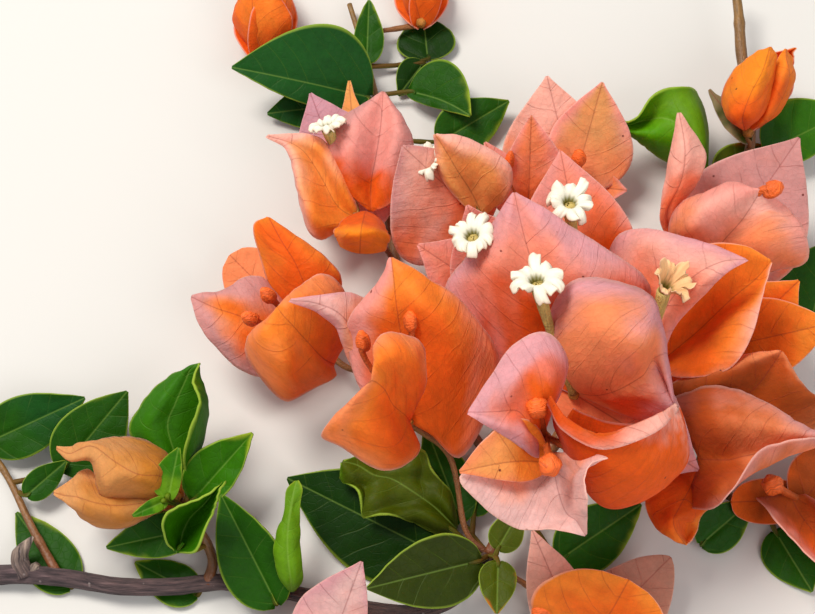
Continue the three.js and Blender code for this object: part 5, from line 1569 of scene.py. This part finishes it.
# %% Leaves at the woody stem
LEAVES["leaf_bud_upright"] = dict(
    stalk=[(-42.5, -36, 10)], tones=("bright_green", "bright_green", "lime"),
    blades=[
        dict(base=(-42, -31, 10), tip=(-40.5, -11, 20), net=[
            [(-42, -32.5, 10)],
            [(-47.5, -28, 12), (-46, -29, 14), (-44, -28.5, 13), (-40.5, -28, 12), (-42.5, -29.5, 17)],
            [(-53.5, -23, 14), (-49.5, -23.5, 17), (-46, -22.5, 16), (-39, -23, 14), (-41, -25.5, 21)],
            [(-51, -18, 16), (-47.5, -19, 19), (-44.5, -18.5, 18), (-38.5, -18.5, 17), (-39, -20.5, 24)],
            [(-46.5, -13.5, 18), (-44.5, -14.5, 20), (-42.5, -14.5, 20), (-39.5, -14.5, 20),
             (-40.5, -16.5, 24)],
            [(-43, -12.5, 20), (-42, -12.5, 21), (-41.5, -12.5, 21), (-40, -12.5, 21), (-40, -12.5, 22)],
            [(-40, -11.5, 21)],
        ]),
    ])
LEAVES["leaf_bud_right"] = dict(
    stalk=[(-42.5, -36.5, 10)], tones=("bright_green", "bright_green", "lime"),
    blades=[dict(base=(-41, -35, 10), tip=(-29.5, -24.5, 18), wide=(0.3, 0.22), fold=(15, 25))])
LEAVES["leaf_bud_front"] = dict(
    stalk=[(-38.5, -43, 6.5), (-41, -45, 9)], tones=("bright_green", "bright_green", "lime"),
    blades=[
        dict(base=(-43, -45.5, 12), tip=(-34, -35.5, 22), net=[
            [(-43.5, -46, 12)],
            [(-45, -45, 16), (-44.5, -44.5, 13), (-43, -44, 11), (-41, -45.5, 13), (-39.5, -47.5, 17)],
            [(-45.5, -43, 20), (-44.5, -42.5, 15), (-42.5, -41.5, 11), (-39.5, -43.5, 14), (-37.5, -44, 19)],
            [(-44, -41, 22), (-43, -40, 17), (-41, -39.5, 13), (-38, -41, 16), (-36, -41, 20)],
            [(-40, -39.5, 23), (-39.5, -38.5, 20), (-38, -38, 17), (-36.5, -38.5, 19), (-35, -39, 22)],
            [(-36, -37.5, 23), (-35.5, -37, 22), (-35.5, -36.5, 21), (-35, -37, 22), (-34.5, -37, 23)],
            [(-34, -35.5, 22)],
        ]),
    ])
LEAVES["leaf_bud_low"] = dict(
    stalk=[(-40, -40.5, 8)],
    blades=[dict(base=(-41.5, -40.5, 8), tip=(-57.5, -44, 8), wide=(0.22, 0.26), fold=10)])
LEAVES["leaf_stem_large"] = dict(
    stalk=[(-25, -51, 3)], tones=("leaf_green", "leaf_green", "young_green"),
    blades=[dict(base=(-25, -54, 4), tip=(-35.5, -35, 13), wide=(0.27, 0.22), fold=8)])
LEAVES["leaf_far_left"] = dict(
    stalk=[(-83, -22.5, 4)], tones=("leaf_green", "blue_green", "leaf_green"),
    blades=[dict(base=(-83.5, -21.5, 4), tip=(-64, -13.5, 8), wide=0.26, fold=5)])
LEAVES["leaf_left_round"] = dict(
    stalk=[(-78, -29.5, 3), (-73, -28.5, 3.5)],
    blades=[dict(base=(-68, -27, 4), tip=(-55.5, -12.5, 9), wide=(0.3, 0.34))])
LEAVES["leaf_left_small"] = dict(
    stalk=[(-76.5, -31.5, 3)],
    blades=[dict(base=(-74.5, -32.5, 4.5), tip=(-67, -26, 6), wide=0.24)])
LEAVES["leaf_under_stem"] = dict(
    stalk=[(-39.5, -50, 2.5)],
    blades=[dict(base=(-40.5, -51.5, 1), tip=(-53, -45, 1), face=(0, 0.41, 0.91), wide=(0.28, 0.25))])
LEAVES["leaf_under_knot"] = dict(
    stalk=[(-64.5, -49, 2.5)],
    blades=[dict(base=(-65, -50, 1), tip=(-77, -35, 1), face=(0, 0.41, 0.91), wide=(0.26, 0.24))])
LEAVES["leaf_pair_bud"] = dict(
    stalk=[(-43, -36.5, 10)], tones=("young_green", "bright_green", "lime"),
    blades=[
        dict(base=(-45, -38.5, 20), tip=(-50.5, -42, 22), wide=0.12),
        dict(base=(-44.5, -38, 20), tip=(-42.5, -29.5, 24), wide=(0.32, 0.12)),
    ])
print("leaves so far:", len(LEAVES))

# %% [markdown]
# Under the blooms the leaves are old, large and dark, one of them with a wavy margin. A
# young one beside them is folded shut and seen from its edge. These two have nets, and
# the rest lie almost flat. The darkest is painted in shade green, painted shade for the
# shade it lies in under the blooms.

# %% Leaves under the blooms
LEAVES["leaf_wavy"] = dict(
    stalk=[(15.5, -45.5, 8), (12, -43, 6.5)], tones=("olive", "olive", "young_green"),
    blades=[
        dict(base=(9, -40.5, 7), tip=(-12, -28, 12), net=[
            [(9.5, -39.5, 5)],
            [(6, -40.5, 6), (7, -40, 8), (8, -38.5, 7), (8.5, -37.5, 8.5), (9, -36, 8)],
            [(1, -38.5, 7), (3, -38, 10.5), (5, -36, 8.5), (6.5, -35, 10.5), (8, -33, 9)],
            [(-4, -38.5, 11), (-2, -36, 8), (1, -33.5, 10), (3, -31, 9), (5, -29.5, 11)],
            [(-8.5, -38, 8), (-6.5, -35.5, 11), (-3, -31, 10), (0.5, -29, 12), (3, -25.5, 11)],
            [(-9.5, -34.5, 12), (-8.5, -32.5, 9), (-6.5, -30.5, 11), (-4, -27.5, 9), (-1.5, -25.5, 12)],
            [(-12.5, -31, 9), (-11, -31, 12), (-9.5, -29, 12), (-8, -27.5, 11), (-6, -25, 10)],
            [(-12.5, -28.5, 13)],
        ]),
    ])
LEAVES["leaf_dark_wide"] = dict(
    stalk=[(9, -53, 5), (8, -48.5, 4.5)], tones=("deep_green", "deep_green", "leaf_green"),
    blades=[dict(base=(6.5, -44.5, 4), tip=(-23.5, -29.5, 6), wide=0.3)])
LEAVES["leaf_folded"] = dict(
    stalk=[(-22, -51.5, 3)], tones=("young_green", "young_green", "lime"),
    blades=[
        dict(base=(-21.5, -51, 5), tip=(-22.5, -33.5, 15), net=[
            [(-22, -52, 6)],
            [(-24, -50, 9), (-23, -50.5, 10), (-22, -50.5, 10.5), (-21, -50.5, 10), (-20, -50, 9)],
            [(-25, -46, 11), (-24, -46.5, 12), (-22.5, -46.5, 12.5), (-21.5, -46, 12), (-20.5, -45, 11)],
            [(-24.5, -42, 12.5), (-23.5, -42, 13.5), (-22.5, -42, 14), (-21.5, -42, 13.5),
             (-20.5, -41.5, 12.5)],
            [(-23, -38.5, 13.5), (-22.5, -38.5, 14), (-22, -38.5, 14.5), (-21.5, -38, 14),
             (-20.5, -38, 13.5)],
            [(-23, -35, 15), (-22.5, -35, 15), (-21.5, -35, 15), (-20.5, -35, 15), (-20, -34.5, 15)],
            [(-21, -33, 15)],
        ]),
    ])
# Painted shade: shade green stands for the shade that this leaf lies in under the blooms.
LEAVES["leaf_olive"] = dict(
    stalk=[(15.5, -45.5, 8)], tones=("shade_green", "shade_green", "olive"),
    blades=[dict(base=(13.5, -47.5, 11), tip=(-7.5, -53.5, 14), wide=0.29, fold=8)])
LEAVES["leaf_pair_node"] = dict(
    stalk=[(15.5, -45.5, 8), (16.5, -46.5, 11)], tones=("olive", "olive", "rust"),
    blades=[
        dict(base=(17, -45.5, 12), tip=(21.5, -38, 14), wide=0.3),
        dict(base=(17, -48, 12), tip=(16.5, -58, 13), wide=0.3),
    ])
LEAVES["leaf_pair_behind"] = dict(
    stalk=[(15.5, -45.5, 8), (12.5, -40.5, 4.5)],
    blades=[
        dict(base=(10.5, -37.5, 4), tip=(3.5, -18, 5), wide=(0.2, 0.22)),
        dict(base=(13, -36, 4), tip=(17.5, -18.5, 3), wide=0.18),
    ])
LEAVES["leaf_below_bloom"] = dict(
    stalk=[(21.5, -35.5, 10), (26, -41.5, 5)],
    blades=[dict(base=(29.5, -45, 3), tip=(45.5, -34.5, 5), wide=0.3)])
print("leaves so far:", len(LEAVES))

# %% [markdown]
# At the top two loose pairs and three single leaves stand on the thin stem. A plain tip
# and two widths are enough, and the widths differ where a leaf is seen from its side.

# %% Leaves at the top
LEAVES["leaf_pair_top_left"] = dict(
    stalk=[(-6, 55, 3), (-8, 56, 4.5)], tones=("blue_green", "blue_green", "leaf_green"),
    blades=[
        dict(base=(-8.5, 57.5, 5), tip=(-37.5, 60, 13), wide=(0.14, 0.42), bulge=0.06, fold=5),
        dict(base=(-13.5, 57, 3), tip=(-30.5, 54.5, 3), wide=(0.25, 0.3)),
    ])
LEAVES["leaf_top_upright"] = dict(
    stalk=[(-9, 67, 3)],
    blades=[dict(base=(-9, 67, 4), tip=(-8.5, 80.5, 8), wide=(0.18, 0.22))])
LEAVES["leaf_pair_top"] = dict(
    stalk=[(-8.5, 66.5, 3), (-2, 67.5, 2)], tones=("deep_green", "deep_green", "deep_green"),
    blades=[
        dict(base=(4.5, 69, 2), tip=(3.5, 81, 1.5), wide=0.5),
        dict(base=(3.5, 68, 2), tip=(-2, 60, 1.5), wide=(0.3, 0.35)),
    ])
LEAVES["leaf_top_dark"] = dict(
    stalk=[(-7, 59, 3)],
    blades=[dict(base=(0.5, 59.5, 4), tip=(13.5, 51, 8), wide=(0.5, 0.1), lean=-0.05)])
LEAVES["leaf_top_low"] = dict(
    stalk=[(-5.5, 49, 3), (0.5, 48, 2.5)],
    blades=[dict(base=(7, 47.5, 3), tip=(22, 56.5, 5), wide=0.3)])
print("leaves so far:", len(LEAVES))

# %% [markdown]
# On the right one light leaf curls over like a wave, with a net, and the others are plain.

# %% Leaves on the right
LEAVES["leaf_right_curled"] = dict(
    stalk=[(72, 41.5, 6), (67.5, 40.5, 5)], tones=("young_green", "fresh_green", "lime"),
    blades=[
        dict(base=(63, 40, 5), tip=(43, 48, 14), net=[
            [(63.5, 39, 5)],
            [(58, 40.5, 5), (59.5, 39, 11), (61.5, 40.5, 13), (63, 43, 11), (64, 47, 8)],
            [(56, 42, 4), (56, 42.5, 10), (58, 44.5, 14), (60.5, 47.5, 15), (62, 55, 10)],
            [(53, 43.5, 5), (52.5, 43.5, 12), (54, 47.5, 13), (56, 50, 14.5), (58, 54, 15)],
            [(49.5, 44.5, 8), (49.5, 44.5, 12), (50, 48.5, 10), (51.5, 50, 12), (52, 52, 16)],
            [(46.5, 45, 11), (46.5, 45, 12), (47, 47.5, 10), (47.5, 48, 11), (47.5, 46.5, 15)],
            [(45, 46, 12), (44.5, 46, 12.5), (45, 47, 12), (44.5, 46.5, 13), (45, 46.5, 14)],
            [(42.5, 46.5, 16)],
        ]),
    ])
LEAVES["leaf_right_round"] = dict(
    stalk=[(66, 29.5, 5)], tones=("olive", "olive", "rust"),
    blades=[dict(base=(67, 35.5, 3), tip=(79.5, 46.5, 2), wide=(0.4, 0.2))])
LEAVES["leaf_right_edge"] = dict(
    stalk=[(73, 43.5, 6)], tones=("leaf_green", "bright_green", "lime"),
    blades=[dict(base=(76.5, 43.5, 6), tip=(94, 51, 10), wide=(0.4, 0.25), wave=0.02)])
LEAVES["leaf_far_right"] = dict(
    stalk=[(57.5, 19, 5), (71, 10, 3)],
    blades=[dict(base=(83, 5.5, 3), tip=(88, 21.5, 8), wide=(0.5, 0.3))])
LEAVES["leaf_low_right"] = dict(
    stalk=[(59, -29.5, 4), (58, -37, 3)],
    blades=[dict(base=(57, -42, 3), tip=(67, -34, 6), wide=0.3)])
LEAVES["leaf_low_edge"] = dict(
    stalk=[(70.5, -36, 3)],
    blades=[dict(base=(72, -39, 1.5), tip=(78, -51, 1.5), wide=(0.4, 0.35))])
print("leaves so far:", len(LEAVES))

# %% [markdown]
# Each blade is a closed sheet, and its petiole a thin stem that runs a tenth of the way into
# the blade, so that no gap shows where they meet. It goes from brown at the stem to the
# blade's own green.

# %% Growing the leaves
PETIOLE_TONE = "#6A4A20"
PETIOLE_RADII = (0.6, 0.5, 0.3)


def leaf_parts(leaf, seed):
    parts = []
    tones = leaf.get("tones", LEAF["tones"])
    for k, blade in enumerate(leaf["blades"]):
        full = {**LEAF, "tones": tones, "seed": seed + 2.3 * k, "phase": seed + k, **blade}
        parts.append(closed_sheet(full))
        start = leaf["stalk"] if k == 0 else leaf["stalk"][-1:]
        into = np.array(blade["base"]) * 0.9 + np.array(blade["tip"]) * 0.1
        parts.append(swept([*start, blade["base"], into], PETIOLE_RADII, 10, 18, joint_swellings,
                           (PETIOLE_TONE, TONES[tones[0]]), seed))
    return parts


for index, (name, leaf) in enumerate(LEAVES.items()):
    grow_piece(name, leaf_parts(leaf, 2.9 * index + 40), LEAF_TISSUE, name)
print("leaves:", len(LEAVES))

# %% [markdown]
# The floor is a plain pale disc, and the light is what a plant would have in open shade: a
# soft source high over the far left of the branch, which shades every fold on its near side, a
# larger and weaker one from the right front, and a faint sky all round.

# %% Floor and light
def lamp(name, place, size, power, colour):
    light = bpy.data.lights.new(name, "AREA")
    light.energy = power
    light.size = size
    light.color = linear(colour)
    holder = bpy.data.objects.new(name, light)
    holder.location = place
    holder.rotation_euler = Vector(place).to_track_quat("Z", "Y").to_euler()
    bpy.context.scene.collection.objects.link(holder)


floor_material, floor_tree = new_material("studio_floor")
floor_skin = add(floor_tree, "ShaderNodeBsdfPrincipled", {"Base Color": rgba("#C4C1BC"),
                                                          "Roughness": 0.9})
add(floor_tree, "ShaderNodeOutputMaterial", {"Surface": floor_skin.outputs[0]})
bpy.ops.mesh.primitive_circle_add(vertices=96, radius=1.5, fill_type="NGON", location=(0, 0, 0))
floor = bpy.context.object
floor.name = "floor"
floor.data.materials.append(floor_material)
floor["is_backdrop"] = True

# Place and size are in metres, power in watts.
lamp("key_light", (-0.35, 0.25, 0.8), 0.35, 9.5, "#FFFBF4")
lamp("fill_light", (0.5, -0.6, 0.7), 0.6, 4.0, "#FFFFFF")
world = bpy.data.worlds.new("studio_air")
bpy.context.scene.world = world
world.use_nodes = True
world.node_tree.nodes["Background"].inputs["Color"].default_value = rgba("#F2F4F8")
world.node_tree.nodes["Background"].inputs["Strength"].default_value = 0.6
bpy.context.scene.view_settings.view_transform = "Standard"

# %% [markdown]
# At the end the size of what shows is printed beside the size of the solids. At the end the
# size of what shows is set against the size of the solids, which it may pass by very
# little, and the tools check every piece.

# %% Sizes and finish
visual_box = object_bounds()
for title, box in (("solids", cad_box), ("looks", visual_box)):
    print(title, [[round(value * 1000, 1) for value in corner] for corner in box], "mm")
print("pieces:", len(pieces), "faces:", sum(pieces.values()))
